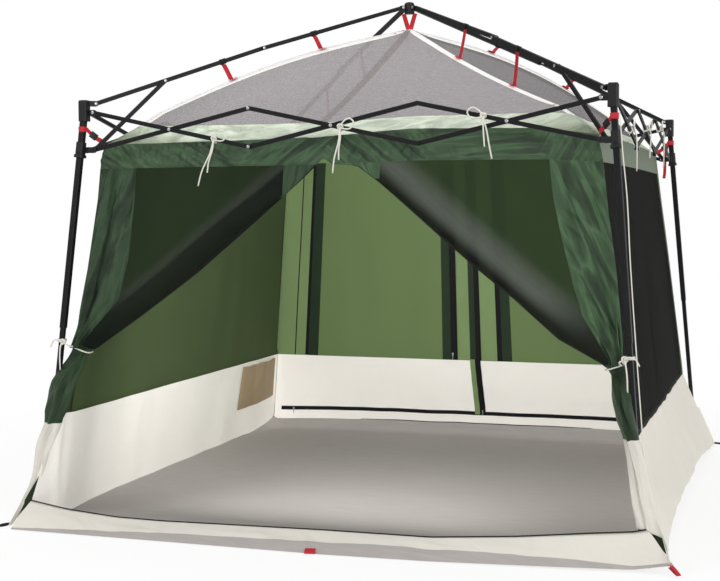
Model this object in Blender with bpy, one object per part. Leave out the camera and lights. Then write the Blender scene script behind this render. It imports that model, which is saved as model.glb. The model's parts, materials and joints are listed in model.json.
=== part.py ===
"""Pop-up screen house: a folding slant-leg frame with a sewn tent hung inside it.

Units are metres, +Z is up, the ground is z = 0 and the doorway faces -Y.
The frame has four equal corners and four equal sides, so each piece is modelled once, at the
front-left corner or on the front side, and its four copies are turned about Z by quarter turns.
"""

import math

import bmesh
import bpy
import numpy as np
from mathutils import Matrix, Vector

# Frame layout
TOP_SPACING = 2.50        # between leg axes, at the height of the upper truss pivots
TRUSS_TOP_Z = 1.930       # upper truss pivots
TRUSS_DEPTH = 0.176       # from upper to lower truss pivots
CROSSES_PER_SIDE = 3
LEG_SLANT = 0.083         # outward travel of a leg per unit of height, in X and in Y alike
PIVOT_REACH = 0.050       # from a leg axis to the truss pivots
RAFTER_REACH = 0.055      # from a leg axis to the rafter pivot, along the diagonal
RAFTER_PIVOT_RISE = 0.045  # rafter pivot above the upper truss pivots
LOWER_RAFTER = 0.920      # pivot to pivot
LOWER_RAFTER_SLOPE = math.radians(19.5)
HUB_REACH = 0.045         # from the hub's axis to its pivots
HUB_RISE = 0.5594         # hub pivots above the rafter pivots at the corners
BRACE_FROM_CORNER = 0.368  # along the lower rafter, from the corner pivot to the brace pivot
BRACE_REACH = 0.045       # brace pivot on the slider, inward of the upper truss pivots' leg axis

# Sections and fasteners
BAR_WIDTH = 0.020
BAR_THICKNESS = 0.009
LAYER_GAP = 0.001         # between two bars that cross
RAFTER_DEPTH = 0.021
RAFTER_THICKNESS = 0.016
EAR_THICKNESS = 0.006
EAR_RADIUS = 0.0135
EAR_GAP = 0.0013          # an ear to the bar that turns on it
SLIDER_EAR_GAP = 0.0022   # wider, because the leg straightens as the frame folds
RIVET_RADIUS = 0.0035
RIVET_HOLE = 0.0041
RIVET_HEAD_RADIUS = 0.0070
RIVET_HEAD_HEIGHT = 0.0025
RIVET_PLAY = 0.0006
RIVET_SIDES = 8
END_STEPS = 5             # facets on a rounded bar end

# Legs and fittings
OUTER_TUBE = 0.028
OUTER_WALL = 0.002
INNER_TUBE = 0.023
INNER_WALL = 0.0015
TUBE_CORNER = 0.003
OUTER_TUBE_ABOVE_PIVOT = 0.040
OUTER_TUBE_BELOW_PIVOT = 1.030
TUBE_OVERLAP = 0.160      # inner tube inside the outer one, legs fully extended
FOOT_PLATE = 0.064
FOOT_PLATE_THICKNESS = 0.005
FOOT_CORNER = 0.012
FOOT_WELD = 0.0015        # depth of the inner tube in its foot plate
BRACKET_WALL = 0.0045
BRACKET_BELOW_PIVOT = 0.040
BRACKET_ABOVE_PIVOT = 0.060
BRACKET_CROWN = 0.007     # height of the rounded top edge
SOCKET_CLEARANCE = 0.0004  # slanted outer tube to the bracket's socket
SLIDER_WALL = 0.005
SLIDER_LENGTH = 0.074
SLIDER_FLANGE = 0.004
SLIDER_FLANGE_HEIGHT = 0.012
SLIDER_CLEARANCE = 0.0004
FITTING_CORNER = 0.007
HUB_RADIUS = 0.027
HUB_BELOW_PIVOT = 0.030
HUB_ABOVE_PIVOT = 0.034
HUB_FOOT_RADIUS = 0.0215
HUB_CHAMFER = 0.006
HUB_DOME = 0.0135         # height of the domed top
HUB_TOP_FLAT = 0.007      # radius of the flat on the dome
HUB_SIDES = 16
DOME_STEPS = 4

# Tent
SHEET = 0.0025            # drawn thickness of cloth
SEAM_GAP = 0.0003
APEX_BELOW_HUB = 0.1144   # peak of the roof below the hub's pivots
APEX_HALF = 0.020         # half width of the patch at the peak
EAVE_BELOW_TRUSS = 0.150  # eaves below the upper truss pivots
EAVE_INSET = 0.070        # eaves inside the leg axes
BAND_RUN = 0.190          # solid sloping band between the eaves and the mesh of the roof
BAND_RISE = 0.145
ROOF_SAG = 0.030          # dip of a roof panel's middle between two hips
ROOF_STEPS = 8            # along each side
ROOF_ROWS = 4             # from the peak to the edge of the mesh
SKIRT_TOP_Z = 0.460       # where the walls meet the skirt
SKIRT_INSET = 0.032       # that edge inside the leg axes
HEM_BEYOND_LEGS = 0.115   # hem on the ground, outside the leg axes
LEG_CORRIDOR = 0.040      # kept clear on the inner side of a leg axis for the leg and its foot
SLIT_LOW_Z = 0.200        # the skirt's corners are open for the leg between these heights
SLIT_TOP_Z = 0.250
WALL_PLEATS = 5
WALL_PLEAT_DEPTH = 0.010
STEPS_PER_PLEAT = 4
WALL_ROWS = 5             # down to the skirt
DOOR_ROWS = 9
FLOOR_THICKNESS = 0.0035
FLOOR_MARGIN = 0.005      # floor beyond the hem
FOOT_CLEARANCE = 0.006    # a foot plate to the edge of the notch it stands in
FLOOR_BOW = 0.070         # front edge, outward at mid span
FLOOR_STATIONS = 25
SILL_HEIGHT = 0.070
SILL_RISE = 0.060         # extra height of the sill at the corners
SILL_LEAN = 0.035
STRAP_WIDTH = 0.025

# Door flaps, tied back to the front legs
DOOR_TOP_GAP = 0.030      # half of the gap between the flaps at the eaves
DOOR_PARTING = 0.090      # half of the gap where the zip edges part
PARTING_BELOW_EAVE = 0.090
DOOR_TIE_Z = 0.820
DOOR_TIE_INSET = 0.072    # zip edge at the tie, inside the leg axis
DOOR_FAN_Z = 0.550        # widest part of the loose cloth under the tie
DOOR_FAN_INSET = 0.1145
DOOR_FOOT_BEYOND = 0.010  # zip edge on the ground, outside the leg axis
DOOR_PLEATS = 5
DOOR_PLEAT_DEPTH = 0.014

CORNERS = ("front_left", "front_right", "back_right", "back_left")
SIDES = ("front", "right", "back", "left")

# Sizes that follow from the ones above
HALF_TOP = TOP_SPACING / 2
LEG_SPREAD = HALF_TOP + LEG_SLANT * TRUSS_TOP_Z
EAVE = HALF_TOP - EAVE_INSET
EAVE_Z = TRUSS_TOP_Z - EAVE_BELOW_TRUSS
MESH_EDGE = EAVE - BAND_RUN
MESH_EDGE_Z = EAVE_Z + BAND_RISE
APEX_Z = TRUSS_TOP_Z + RAFTER_PIVOT_RISE + HUB_RISE - APEX_BELOW_HUB
SKIRT_TOP = LEG_SPREAD - LEG_SLANT * SKIRT_TOP_Z - SKIRT_INSET
GROUND_HALF = LEG_SPREAD + HEM_BEYOND_LEGS
FLOOR_HALF = GROUND_HALF + FLOOR_MARGIN
FLOOR_NOTCH = LEG_SPREAD - FOOT_PLATE / 2 - FOOT_CLEARANCE
DOOR_PARTING_Z = EAVE_Z - PARTING_BELOW_EAVE
BAR_RUN = (TOP_SPACING - 2 * PIVOT_REACH) / CROSSES_PER_SIDE
BAR_LENGTH = math.hypot(BAR_RUN, TRUSS_DEPTH)
BAR_ANGLE = math.atan2(TRUSS_DEPTH, BAR_RUN)
LAYER_A = (-LAYER_GAP / 2 - BAR_THICKNESS, -LAYER_GAP / 2)
LAYER_B = (LAYER_GAP / 2, LAYER_GAP / 2 + BAR_THICKNESS)
LOWER_RAFTER_LAYER = (LAYER_GAP / 2, LAYER_GAP / 2 + RAFTER_THICKNESS)
UPPER_RAFTER_LAYER = (-LAYER_GAP / 2 - RAFTER_THICKNESS, -LAYER_GAP / 2)
BRACE_LAYER = (-LAYER_GAP / 2 - BAR_THICKNESS, -LAYER_GAP / 2)
RIVET_INSET = 0.0005      # a rivet starts this far inside its own bar

# Front-left corner: leg axis at the upper truss pivots, and the axes of the diagonal plane
CORNER = Vector((-HALF_TOP, -HALF_TOP, TRUSS_TOP_Z))
INWARD = Vector((1, 1, 0)).normalized()
ACROSS = Vector((-1, 1, 0)).normalized()
UP = Vector((0, 0, 1))
ALONG_FRONT = Vector((1, 0, 0))
ALONG_LEFT = Vector((0, 1, 0))
LEG_UP = Vector((LEG_SLANT, LEG_SLANT, 1)).normalized()
RAFTER_PIVOT = CORNER + INWARD * RAFTER_REACH + UP * RAFTER_PIVOT_RISE
LOWER_RAFTER_DIRECTION = INWARD * math.cos(LOWER_RAFTER_SLOPE) + UP * math.sin(LOWER_RAFTER_SLOPE)
FOLD_PIVOT = RAFTER_PIVOT + LOWER_RAFTER_DIRECTION * LOWER_RAFTER
HUB_CENTRE = Vector((0, 0, RAFTER_PIVOT.z + HUB_RISE))
HUB_PIVOT = HUB_CENTRE - INWARD * HUB_REACH
BRACE_PIVOT = RAFTER_PIVOT + LOWER_RAFTER_DIRECTION * BRACE_FROM_CORNER
SLIDER_CENTRE = CORNER - LEG_UP * (TRUSS_DEPTH / LEG_UP.z)
BRACE_FOOT = CORNER + INWARD * BRACE_REACH - UP * TRUSS_DEPTH
FOOT_POINT = CORNER - LEG_UP * (TRUSS_TOP_Z / LEG_UP.z)


def clear_scene():
    for scene_object in list(bpy.data.objects):
        bpy.data.objects.remove(scene_object, do_unlink=True)


def make_material(name, colour, roughness, metallic):
    material = bpy.data.materials.new(name)
    material.use_nodes = True
    shader = material.node_tree.nodes["Principled BSDF"]
    shader.inputs["Base Color"].default_value = (*colour, 1)
    shader.inputs["Roughness"].default_value = roughness
    shader.inputs["Metallic"].default_value = metallic
    return material


def frame_matrix(origin, x_axis, y_axis, z_axis):
    """Matrix whose columns are the three axes, placed at the origin."""
    matrix = Matrix((x_axis, y_axis, z_axis)).transposed().to_4x4()
    matrix.translation = origin
    return matrix


def finish_mesh(bm, name, matrix=None):
    if matrix is not None:
        bm.transform(matrix)
    bmesh.ops.recalc_face_normals(bm, faces=bm.faces)
    mesh = bpy.data.meshes.new(name)
    bm.to_mesh(mesh)
    bm.free()
    return mesh


def arc(centre, radius, start, end, steps):
    angles = np.linspace(start, end, steps + 1)
    return [(centre[0] + radius * math.cos(a), centre[1] + radius * math.sin(a)) for a in angles]


def stadium(start, end, radius):
    """Outline of a bar with round ends, from x = start to x = end."""
    far = arc((end, 0), radius, -math.pi / 2, math.pi / 2, END_STEPS)
    near = arc((start, 0), radius, math.pi / 2, 3 * math.pi / 2, END_STEPS)
    return far + near


def rounded_square(side, corner, steps=2):
    reach = side / 2 - corner
    points = []
    for quarter, (sx, sy) in enumerate(((1, 1), (-1, 1), (-1, -1), (1, -1))):
        start = quarter * math.pi / 2
        points += arc((sx * reach, sy * reach), corner, start, start + math.pi / 2, steps)
    return points


def loft(sections, matrix=None):
    """Closed solid through outlines of equal length, given as (outline, height) pairs."""
    bm = bmesh.new()
    rings = [[bm.verts.new((x, y, z)) for x, y in outline] for outline, z in sections]
    for lower, upper in zip(rings, rings[1:]):
        for i in range(len(lower)):
            j = (i + 1) % len(lower)
            bm.faces.new((lower[i], lower[j], upper[j], upper[i]))
    bm.faces.new(list(reversed(rings[0])))
    bm.faces.new(rings[-1])
    return finish_mesh(bm, "loft", matrix)


def tube(outer, inner, start, end, matrix):
    """Open tube between two outlines of equal length."""
    bm = bmesh.new()
    rings = [
        [bm.verts.new((x, y, z)) for x, y in outline]
        for outline, z in ((outer, start), (outer, end), (inner, end), (inner, start))
    ]
    for lower, upper in zip(rings, rings[1:] + rings[:1]):
        for i in range(len(lower)):
            j = (i + 1) % len(lower)
            bm.faces.new((lower[i], lower[j], upper[j], upper[i]))
    return finish_mesh(bm, "tube", matrix)


def turned(profile, sides, matrix):
    """Turned solid about local Z through (radius, height) points."""
    sections = []
    for radius, height in profile:
        outline = [
            (radius * math.cos(2 * math.pi * i / sides), radius * math.sin(2 * math.pi * i / sides))
            for i in range(sides)
        ]
        sections.append((outline, height))
    return loft(sections, matrix)


def combine(base, adds=(), cuts=()):
    """Join the added solids to the base, then take the cuts away, with Boolean modifiers."""
    collection = bpy.context.scene.collection
    body = bpy.data.objects.new("body", base)
    collection.objects.link(body)
    tools = []
    for operation, meshes in (("UNION", adds), ("DIFFERENCE", cuts)):
        for mesh in meshes:
            tool = bpy.data.objects.new("tool", mesh)
            collection.objects.link(tool)
            tools.append(tool)
            modifier = body.modifiers.new(operation.lower(), "BOOLEAN")
            modifier.operation = operation
            modifier.solver = "EXACT"
            modifier.object = tool
    graph = bpy.context.evaluated_depsgraph_get()
    result = bpy.data.meshes.new_from_object(body.evaluated_get(graph))
    for used in [body] + tools:
        bpy.data.objects.remove(used, do_unlink=True)
    return result


def rivet(matrix, start, end):
    """Rivet along local Z: a pin from start to end with a low head outside each end."""
    step = math.copysign(RIVET_HEAD_HEIGHT, end - start)
    profile = [
        (RIVET_HEAD_RADIUS, start - step),
        (RIVET_HEAD_RADIUS, start),
        (RIVET_RADIUS, start),
        (RIVET_RADIUS, end),
        (RIVET_HEAD_RADIUS, end),
        (RIVET_HEAD_RADIUS, end + step),
    ]
    return turned(profile, RIVET_SIDES, matrix)


def drill(matrix, start, end, radius=RIVET_HOLE):
    return turned([(radius, start), (radius, end)], RIVET_SIDES, matrix)


def bar_piece(origin, along, normal, layer, ends, width, rivets=(), holes=()):
    """Flat bar in a layer across the normal, running along a line from ends[0] to ends[1] of the origin.

    Rivets are (position, far face) pairs: the rivet leaves the bar's other face and ends there.
    """
    frame = frame_matrix(origin, along, normal.cross(along), normal)
    outline = stadium(*ends, width / 2)
    bar = loft([(outline, layer[0]), (outline, layer[1])], frame)
    pins = []
    for position, far_face in rivets:
        own_face = layer[0] if far_face > layer[0] else layer[1]
        inset = math.copysign(RIVET_INSET, far_face - own_face)
        pins.append(rivet(frame @ Matrix.Translation((position, 0, 0)), own_face + inset, far_face))
    drills = []
    for position in holes:
        at_hole = frame @ Matrix.Translation((position, 0, 0))
        drills.append(drill(at_hole, layer[0] - BAR_THICKNESS, layer[1] + BAR_THICKNESS))
    return combine(bar, pins, drills)


def ear(pivot, toward, normal, layer, root):
    """Ear plate around a pivot, reaching back from it by root, with its rivet hole left to a drill."""
    frame = frame_matrix(pivot, toward, normal.cross(toward), normal)
    outline = stadium(-root, 0, EAR_RADIUS)
    plate = loft([(outline, layer[0]), (outline, layer[1])], frame)
    hole = drill(frame, layer[0] - EAR_THICKNESS, layer[1] + EAR_THICKNESS)
    return plate, hole


def ear_beside(layer, side, gap):
    """Layer of an ear on the outer (-1) or inner (+1) side of a bar's layer."""
    if side < 0:
        return (layer[0] - gap - EAR_THICKNESS, layer[0] - gap)
    return (layer[1] + gap, layer[1] + gap + EAR_THICKNESS)


def place(name, mesh, origin, quarter, material, parent):
    """Object with its origin on its own pivot, turned to its corner or side."""
    turn = Matrix.Rotation(math.pi / 2 * quarter, 4, "Z")
    piece = bpy.data.objects.new(name, mesh)
    bpy.context.scene.collection.objects.link(piece)
    piece.parent = parent
    piece.location = turn @ origin
    piece.rotation_euler = (0, 0, math.pi / 2 * quarter)
    if not mesh.materials:
        mesh.materials.append(material)
    return piece


def place_four(names, mesh, origin, material, parent):
    mesh.transform(Matrix.Translation(-origin))
    for quarter, name in enumerate(names):
        place(name, mesh, origin, quarter, material, parent)


def column(index, upper):
    """Truss pivot on the front side: upper or lower, counted from the front-left corner."""
    x = -HALF_TOP + PIVOT_REACH + index * BAR_RUN
    return Vector((x, -HALF_TOP, TRUSS_TOP_Z if upper else TRUSS_TOP_Z - TRUSS_DEPTH))


def build_truss(material, parent):
    """Crosses along each side: bars A fall from left to right outside, bars B rise inside.

    The chain of bars runs from the left bracket to the last cross but one, and the last cross
    hangs from the right bracket. Each rivet is part of the bar that carries it.
    """
    fall = Vector((math.cos(BAR_ANGLE), 0, -math.sin(BAR_ANGLE)))
    rise = Vector((math.cos(BAR_ANGLE), 0, math.sin(BAR_ANGLE)))
    half = BAR_LENGTH / 2
    through_b = LAYER_B[1] + RIVET_PLAY
    through_ear = ear_beside(LAYER_A, 1, EAR_GAP)[1] + RIVET_PLAY
    out_through_ear = ear_beside(LAYER_B, -1, EAR_GAP)[0] - RIVET_PLAY
    for cross in range(CROSSES_PER_SIDE):
        top_left = column(cross, True)
        top_right = column(cross + 1, True)
        middle = (top_left + column(cross + 1, False)) / 2
        fall_origin, fall_ends = top_left, (0, BAR_LENGTH)
        rise_origin, rise_ends = middle, (-half, half)
        fall_rivets = [(0, through_b), (half, through_b)]
        rise_rivets, rise_holes = [], [-half, 0, half]
        if cross == 0:
            fall_rivets = [(0, through_ear), (half, through_b), (BAR_LENGTH, through_b)]
        if cross == CROSSES_PER_SIDE - 1:
            fall_origin, fall_ends, fall_rivets = middle, (-half, half), [(0, through_b)]
            rise_origin, rise_ends = top_right, (-BAR_LENGTH, 0)
            rise_rivets, rise_holes = [(0, out_through_ear)], [-BAR_LENGTH, -half]
        falling = bar_piece(fall_origin, fall, ALONG_LEFT, LAYER_A, fall_ends, BAR_WIDTH, fall_rivets)
        rising = bar_piece(
            rise_origin, rise, ALONG_LEFT, LAYER_B, rise_ends, BAR_WIDTH, rise_rivets, rise_holes
        )
        place_four([f"bar_a{cross + 1}_{side}" for side in SIDES], falling, fall_origin, material, parent)
        place_four([f"bar_b{cross + 1}_{side}" for side in SIDES], rising, rise_origin, material, parent)


def build_rafters(material, parent):
    """Two-piece rafters from the corners to the hub, each with a brace down to its slider."""
    lower = bar_piece(
        FOLD_PIVOT, LOWER_RAFTER_DIRECTION, ACROSS, LOWER_RAFTER_LAYER, (-LOWER_RAFTER, 0), RAFTER_DEPTH,
        rivets=[
            (-LOWER_RAFTER, ear_beside(LOWER_RAFTER_LAYER, -1, EAR_GAP)[0] - RIVET_PLAY),
            (BRACE_FROM_CORNER - LOWER_RAFTER, BRACE_LAYER[0] - RIVET_PLAY),
            (0, UPPER_RAFTER_LAYER[0] - RIVET_PLAY),
        ],
    )
    place_four([f"lower_rafter_{c}" for c in CORNERS], lower, FOLD_PIVOT, material, parent)

    upper_line = HUB_PIVOT - FOLD_PIVOT
    upper = bar_piece(
        HUB_PIVOT, upper_line.normalized(), ACROSS, UPPER_RAFTER_LAYER, (-upper_line.length, 0),
        RAFTER_DEPTH,
        rivets=[(0, ear_beside(UPPER_RAFTER_LAYER, 1, EAR_GAP)[1] + RIVET_PLAY)],
        holes=[-upper_line.length],
    )
    place_four([f"upper_rafter_{c}" for c in CORNERS], upper, HUB_PIVOT, material, parent)

    brace_line = BRACE_FOOT - BRACE_PIVOT
    brace = bar_piece(
        BRACE_PIVOT, brace_line.normalized(), ACROSS, BRACE_LAYER, (0, brace_line.length), BAR_WIDTH,
        holes=[0, brace_line.length],
    )
    place_four([f"brace_{c}" for c in CORNERS], brace, BRACE_PIVOT, material, parent)


def build_hub(material, parent):
    """Turned hub with a domed top and one ear for each rafter."""
    shoulder = HUB_ABOVE_PIVOT - HUB_DOME
    dome = [
        (HUB_RADIUS * math.cos(a), shoulder + HUB_DOME * math.sin(a))
        for a in np.linspace(0, math.acos(HUB_TOP_FLAT / HUB_RADIUS), DOME_STEPS + 1)
    ]
    foot = [(HUB_FOOT_RADIUS, -HUB_BELOW_PIVOT), (HUB_RADIUS, HUB_CHAMFER - HUB_BELOW_PIVOT)]
    body = turned(foot + dome, HUB_SIDES, Matrix.Translation(HUB_CENTRE))
    plates = []
    holes = []
    for quarter in range(4):
        turn = Matrix.Rotation(math.pi / 2 * quarter, 4, "Z")
        layer = ear_beside(UPPER_RAFTER_LAYER, 1, EAR_GAP)
        plate, hole = ear(HUB_PIVOT, -INWARD, ACROSS, layer, HUB_REACH - HUB_RADIUS / 2)
        plate.transform(turn)
        hole.transform(turn)
        plates.append(plate)
        holes.append(hole)
    hub = combine(body, plates, holes)
    hub.transform(Matrix.Translation(-HUB_CENTRE))
    place("hub", hub, HUB_CENTRE, 0, material, parent)


def leg_frame(origin):
    """Axes of the slanted leg: Z along it, X and Y square to it."""
    x_axis = (ALONG_FRONT - LEG_UP * LEG_UP.x).normalized()
    return frame_matrix(origin, x_axis, LEG_UP.cross(x_axis), LEG_UP)


def build_brackets(material, parent):
    """Corner castings: a socket on the leg's top with ears for two trusses and a rafter."""
    slant_reach = LEG_SLANT * max(BRACKET_BELOW_PIVOT, OUTER_TUBE_ABOVE_PIVOT)
    socket = OUTER_TUBE + 2 * (slant_reach + SOCKET_CLEARANCE)
    outside = socket + 2 * BRACKET_WALL
    crown_start = BRACKET_ABOVE_PIVOT - BRACKET_CROWN
    at_corner = Matrix.Translation(CORNER)
    body = loft(
        [
            (rounded_square(outside, FITTING_CORNER), -BRACKET_BELOW_PIVOT),
            (rounded_square(outside, FITTING_CORNER), crown_start),
            (rounded_square(outside - BRACKET_CROWN, FITTING_CORNER), BRACKET_ABOVE_PIVOT),
        ],
        at_corner,
    )
    cavity = loft(
        [
            (rounded_square(socket, TUBE_CORNER), -2 * BRACKET_BELOW_PIVOT),
            (rounded_square(socket, TUBE_CORNER), crown_start - BRACKET_WALL),
        ],
        at_corner,
    )
    root = PIVOT_REACH - outside / 2 + BRACKET_WALL / 2
    rafter_root = RAFTER_REACH - outside / 2
    front_ear = ear_beside(LAYER_A, 1, EAR_GAP)
    left_ear = ear_beside(LAYER_B, -1, EAR_GAP)
    rafter_ear = ear_beside(LOWER_RAFTER_LAYER, -1, EAR_GAP)
    ears = [
        ear(CORNER + ALONG_FRONT * PIVOT_REACH, ALONG_FRONT, ALONG_LEFT, front_ear, root),
        ear(CORNER + ALONG_LEFT * PIVOT_REACH, ALONG_LEFT, ALONG_FRONT, left_ear, root),
        ear(RAFTER_PIVOT, INWARD, ACROSS, rafter_ear, rafter_root),
    ]
    mesh = combine(body, [plate for plate, _ in ears], [cavity] + [hole for _, hole in ears])
    place_four([f"bracket_{c}" for c in CORNERS], mesh, RAFTER_PIVOT, material, parent)


def build_sliders(material, parent):
    """Sleeves that run on the outer leg tubes and carry the lower truss pivots and the braces."""
    bore = OUTER_TUBE + 2 * SLIDER_CLEARANCE
    outside = bore + 2 * SLIDER_WALL
    flange = outside + 2 * SLIDER_FLANGE
    low = -SLIDER_LENGTH / 2
    body = loft(
        [
            (rounded_square(flange, FITTING_CORNER), low),
            (rounded_square(flange, FITTING_CORNER), low + SLIDER_FLANGE_HEIGHT),
            (rounded_square(outside, FITTING_CORNER), low + SLIDER_FLANGE_HEIGHT + SLIDER_FLANGE),
            (rounded_square(outside, FITTING_CORNER), -low),
        ],
        leg_frame(SLIDER_CENTRE),
    )
    cavity = loft(
        [
            (rounded_square(bore, TUBE_CORNER), -SLIDER_LENGTH),
            (rounded_square(bore, TUBE_CORNER), SLIDER_LENGTH),
        ],
        leg_frame(SLIDER_CENTRE),
    )
    below = CORNER - UP * TRUSS_DEPTH
    root = PIVOT_REACH + LEG_SLANT * TRUSS_DEPTH - bore / 2 - SLIDER_WALL / 2
    brace_root = BRACE_REACH + math.sqrt(2) * LEG_SLANT * TRUSS_DEPTH - outside / 2
    front_ear = ear_beside(LAYER_B, -1, SLIDER_EAR_GAP)
    left_ear = ear_beside(LAYER_A, -1, SLIDER_EAR_GAP)
    brace_ear = ear_beside(BRACE_LAYER, 1, EAR_GAP)
    ears = [
        ear(below + ALONG_FRONT * PIVOT_REACH, ALONG_FRONT, ALONG_LEFT, front_ear, root),
        ear(below + ALONG_LEFT * PIVOT_REACH, ALONG_LEFT, ALONG_FRONT, left_ear, root),
        ear(BRACE_FOOT, INWARD, ACROSS, brace_ear, brace_root),
    ]
    mesh = combine(body, [plate for plate, _ in ears], [cavity] + [hole for _, hole in ears])
    place_four([f"slider_{c}" for c in CORNERS], mesh, SLIDER_CENTRE, material, parent)


def build_legs(material, parent):
    """Outer tubes with telescoping inner tubes, each welded to a foot plate."""
    outer_inside = OUTER_TUBE - 2 * OUTER_WALL
    outer = tube(
        rounded_square(OUTER_TUBE, TUBE_CORNER),
        rounded_square(outer_inside, TUBE_CORNER - OUTER_WALL / 2),
        -OUTER_TUBE_BELOW_PIVOT, OUTER_TUBE_ABOVE_PIVOT, leg_frame(CORNER),
    )
    place_four([f"upper_leg_{c}" for c in CORNERS], outer, CORNER, material, parent)

    ground = -TRUSS_TOP_Z / LEG_UP.z
    inner_top = -OUTER_TUBE_BELOW_PIVOT + TUBE_OVERLAP
    inner = tube(
        rounded_square(INNER_TUBE, TUBE_CORNER),
        rounded_square(INNER_TUBE - 2 * INNER_WALL, TUBE_CORNER - INNER_WALL / 2),
        ground + FOOT_PLATE_THICKNESS - FOOT_WELD, inner_top, leg_frame(CORNER),
    )
    plate = loft(
        [
            (rounded_square(FOOT_PLATE, FOOT_CORNER), 0),
            (rounded_square(FOOT_PLATE, FOOT_CORNER), FOOT_PLATE_THICKNESS),
        ],
        Matrix.Translation(FOOT_POINT),
    )
    leg = combine(plate, [inner])
    place_four([f"lower_leg_{c}" for c in CORNERS], leg, FOOT_POINT, material, parent)


def sheet_solid(name, front, offset):
    """Closed sheet between a grid of points and the same grid moved by the offset."""
    bm = bmesh.new()
    rows = len(front)
    columns = len(front[0])
    near = [[bm.verts.new(p) for p in row] for row in front]
    far = [[bm.verts.new(Vector(p) + offset) for p in row] for row in front]
    for layer in (near, far):
        for i in range(rows - 1):
            for j in range(columns - 1):
                bm.faces.new((layer[i][j], layer[i][j + 1], layer[i + 1][j + 1], layer[i + 1][j]))
    rim = [(0, j) for j in range(columns)]
    rim += [(i, columns - 1) for i in range(1, rows)]
    rim += [(rows - 1, j) for j in range(columns - 2, -1, -1)]
    rim += [(i, 0) for i in range(rows - 2, 0, -1)]
    for (i, j), (k, m) in zip(rim, rim[1:] + rim[:1]):
        bm.faces.new((near[i][j], near[k][m], far[k][m], far[i][j]))
    return finish_mesh(bm, name)


def leg_line(z):
    """Distance of a leg's axis from the middle planes at a height."""
    return LEG_SPREAD - LEG_SLANT * z


def wall_reach(z):
    """Half width of the tent at a height: walls lean in, and the skirt flares to the ground."""
    if z >= SKIRT_TOP_Z:
        return np.interp(z, (SKIRT_TOP_Z, EAVE_Z), (SKIRT_TOP, EAVE))
    return np.interp(z, (0, SKIRT_TOP_Z), (GROUND_HALF, SKIRT_TOP))


def wall_end(z):
    """Half length of a wall at a height: to the corner seam, or short of the leg at the slit."""
    seam = wall_reach(z) - SHEET - SEAM_GAP
    return min(seam, leg_line(z) - LEG_CORRIDOR) if z >= SLIT_TOP_Z else seam


def wall_heights(count):
    """Rows of a wall, from the eaves to the hem, with rows at the skirt's edges and slit."""
    top = EAVE_Z - SHEET - SEAM_GAP
    hem = FLOOR_THICKNESS + SEAM_GAP
    upper = np.linspace(top, SKIRT_TOP_Z, count)
    return list(upper) + [SLIT_TOP_Z, SLIT_LOW_Z, (SLIT_LOW_Z + hem) / 2, hem]


def build_walls(material, parent):
    """Back and side walls: pleated a little between their corners, down to the flared skirt."""
    grid = []
    for z in wall_heights(WALL_ROWS):
        hang = math.sin(math.pi * np.interp(z, (0, EAVE_Z), (0, 1)))
        row = []
        for share in np.linspace(-1, 1, STEPS_PER_PLEAT * WALL_PLEATS + 1):
            pleat = WALL_PLEAT_DEPTH * (1 - share**2) * (1 + math.cos(math.pi * WALL_PLEATS * share))
            row.append((share * wall_end(z), -wall_reach(z) + hang * pleat, z))
        grid.append(row)
    mesh = sheet_solid("wall", grid, Vector((0, SHEET, 0)))
    origin = Vector((0, 0, 0))
    for quarter in (1, 2, 3):
        place(f"wall_{SIDES[quarter]}", mesh, origin, quarter, material, parent)


def door_edge(z):
    """Distance of a flap's zip edge from the centre line at a height."""
    heights = (0, DOOR_FAN_Z, DOOR_TIE_Z, DOOR_PARTING_Z, EAVE_Z)
    foot = leg_line(0) + DOOR_FOOT_BEYOND
    fan = leg_line(DOOR_FAN_Z) - DOOR_FAN_INSET
    tie = leg_line(DOOR_TIE_Z) - DOOR_TIE_INSET
    return np.interp(z, heights, (foot, fan, tie, DOOR_PARTING, DOOR_TOP_GAP))


def build_doors(material, parent):
    """Front flaps drawn aside: pleats gather toward the tie and fan out loosely under it."""
    heights = wall_heights(DOOR_ROWS)
    heights.insert(-4, (SKIRT_TOP_Z + SLIT_TOP_Z) / 2)
    for name, hand in (("door_left", -1), ("door_right", 1)):
        grid = []
        for z in heights:
            gather = 1 - abs(z - DOOR_TIE_Z) / EAVE_Z
            top_fade = min(1, (EAVE_Z - z) / PARTING_BELOW_EAVE / 2)
            foot_fade = min(1, z / SLIT_LOW_Z)
            depth = DOOR_PLEAT_DEPTH * gather * top_fade * foot_fade
            row = []
            for share in np.linspace(0, 1, STEPS_PER_PLEAT * DOOR_PLEATS + 1):
                x = wall_end(z) + (door_edge(z) - wall_end(z)) * share
                pleat = depth * (1 - math.cos(2 * math.pi * DOOR_PLEATS * share))
                row.append((hand * x, -wall_reach(z) + pleat, z))
            grid.append(row)
        mesh = sheet_solid(name, grid, Vector((0, SHEET, 0)))
        place(name, mesh, Vector((0, 0, 0)), 0, material, parent)


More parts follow.
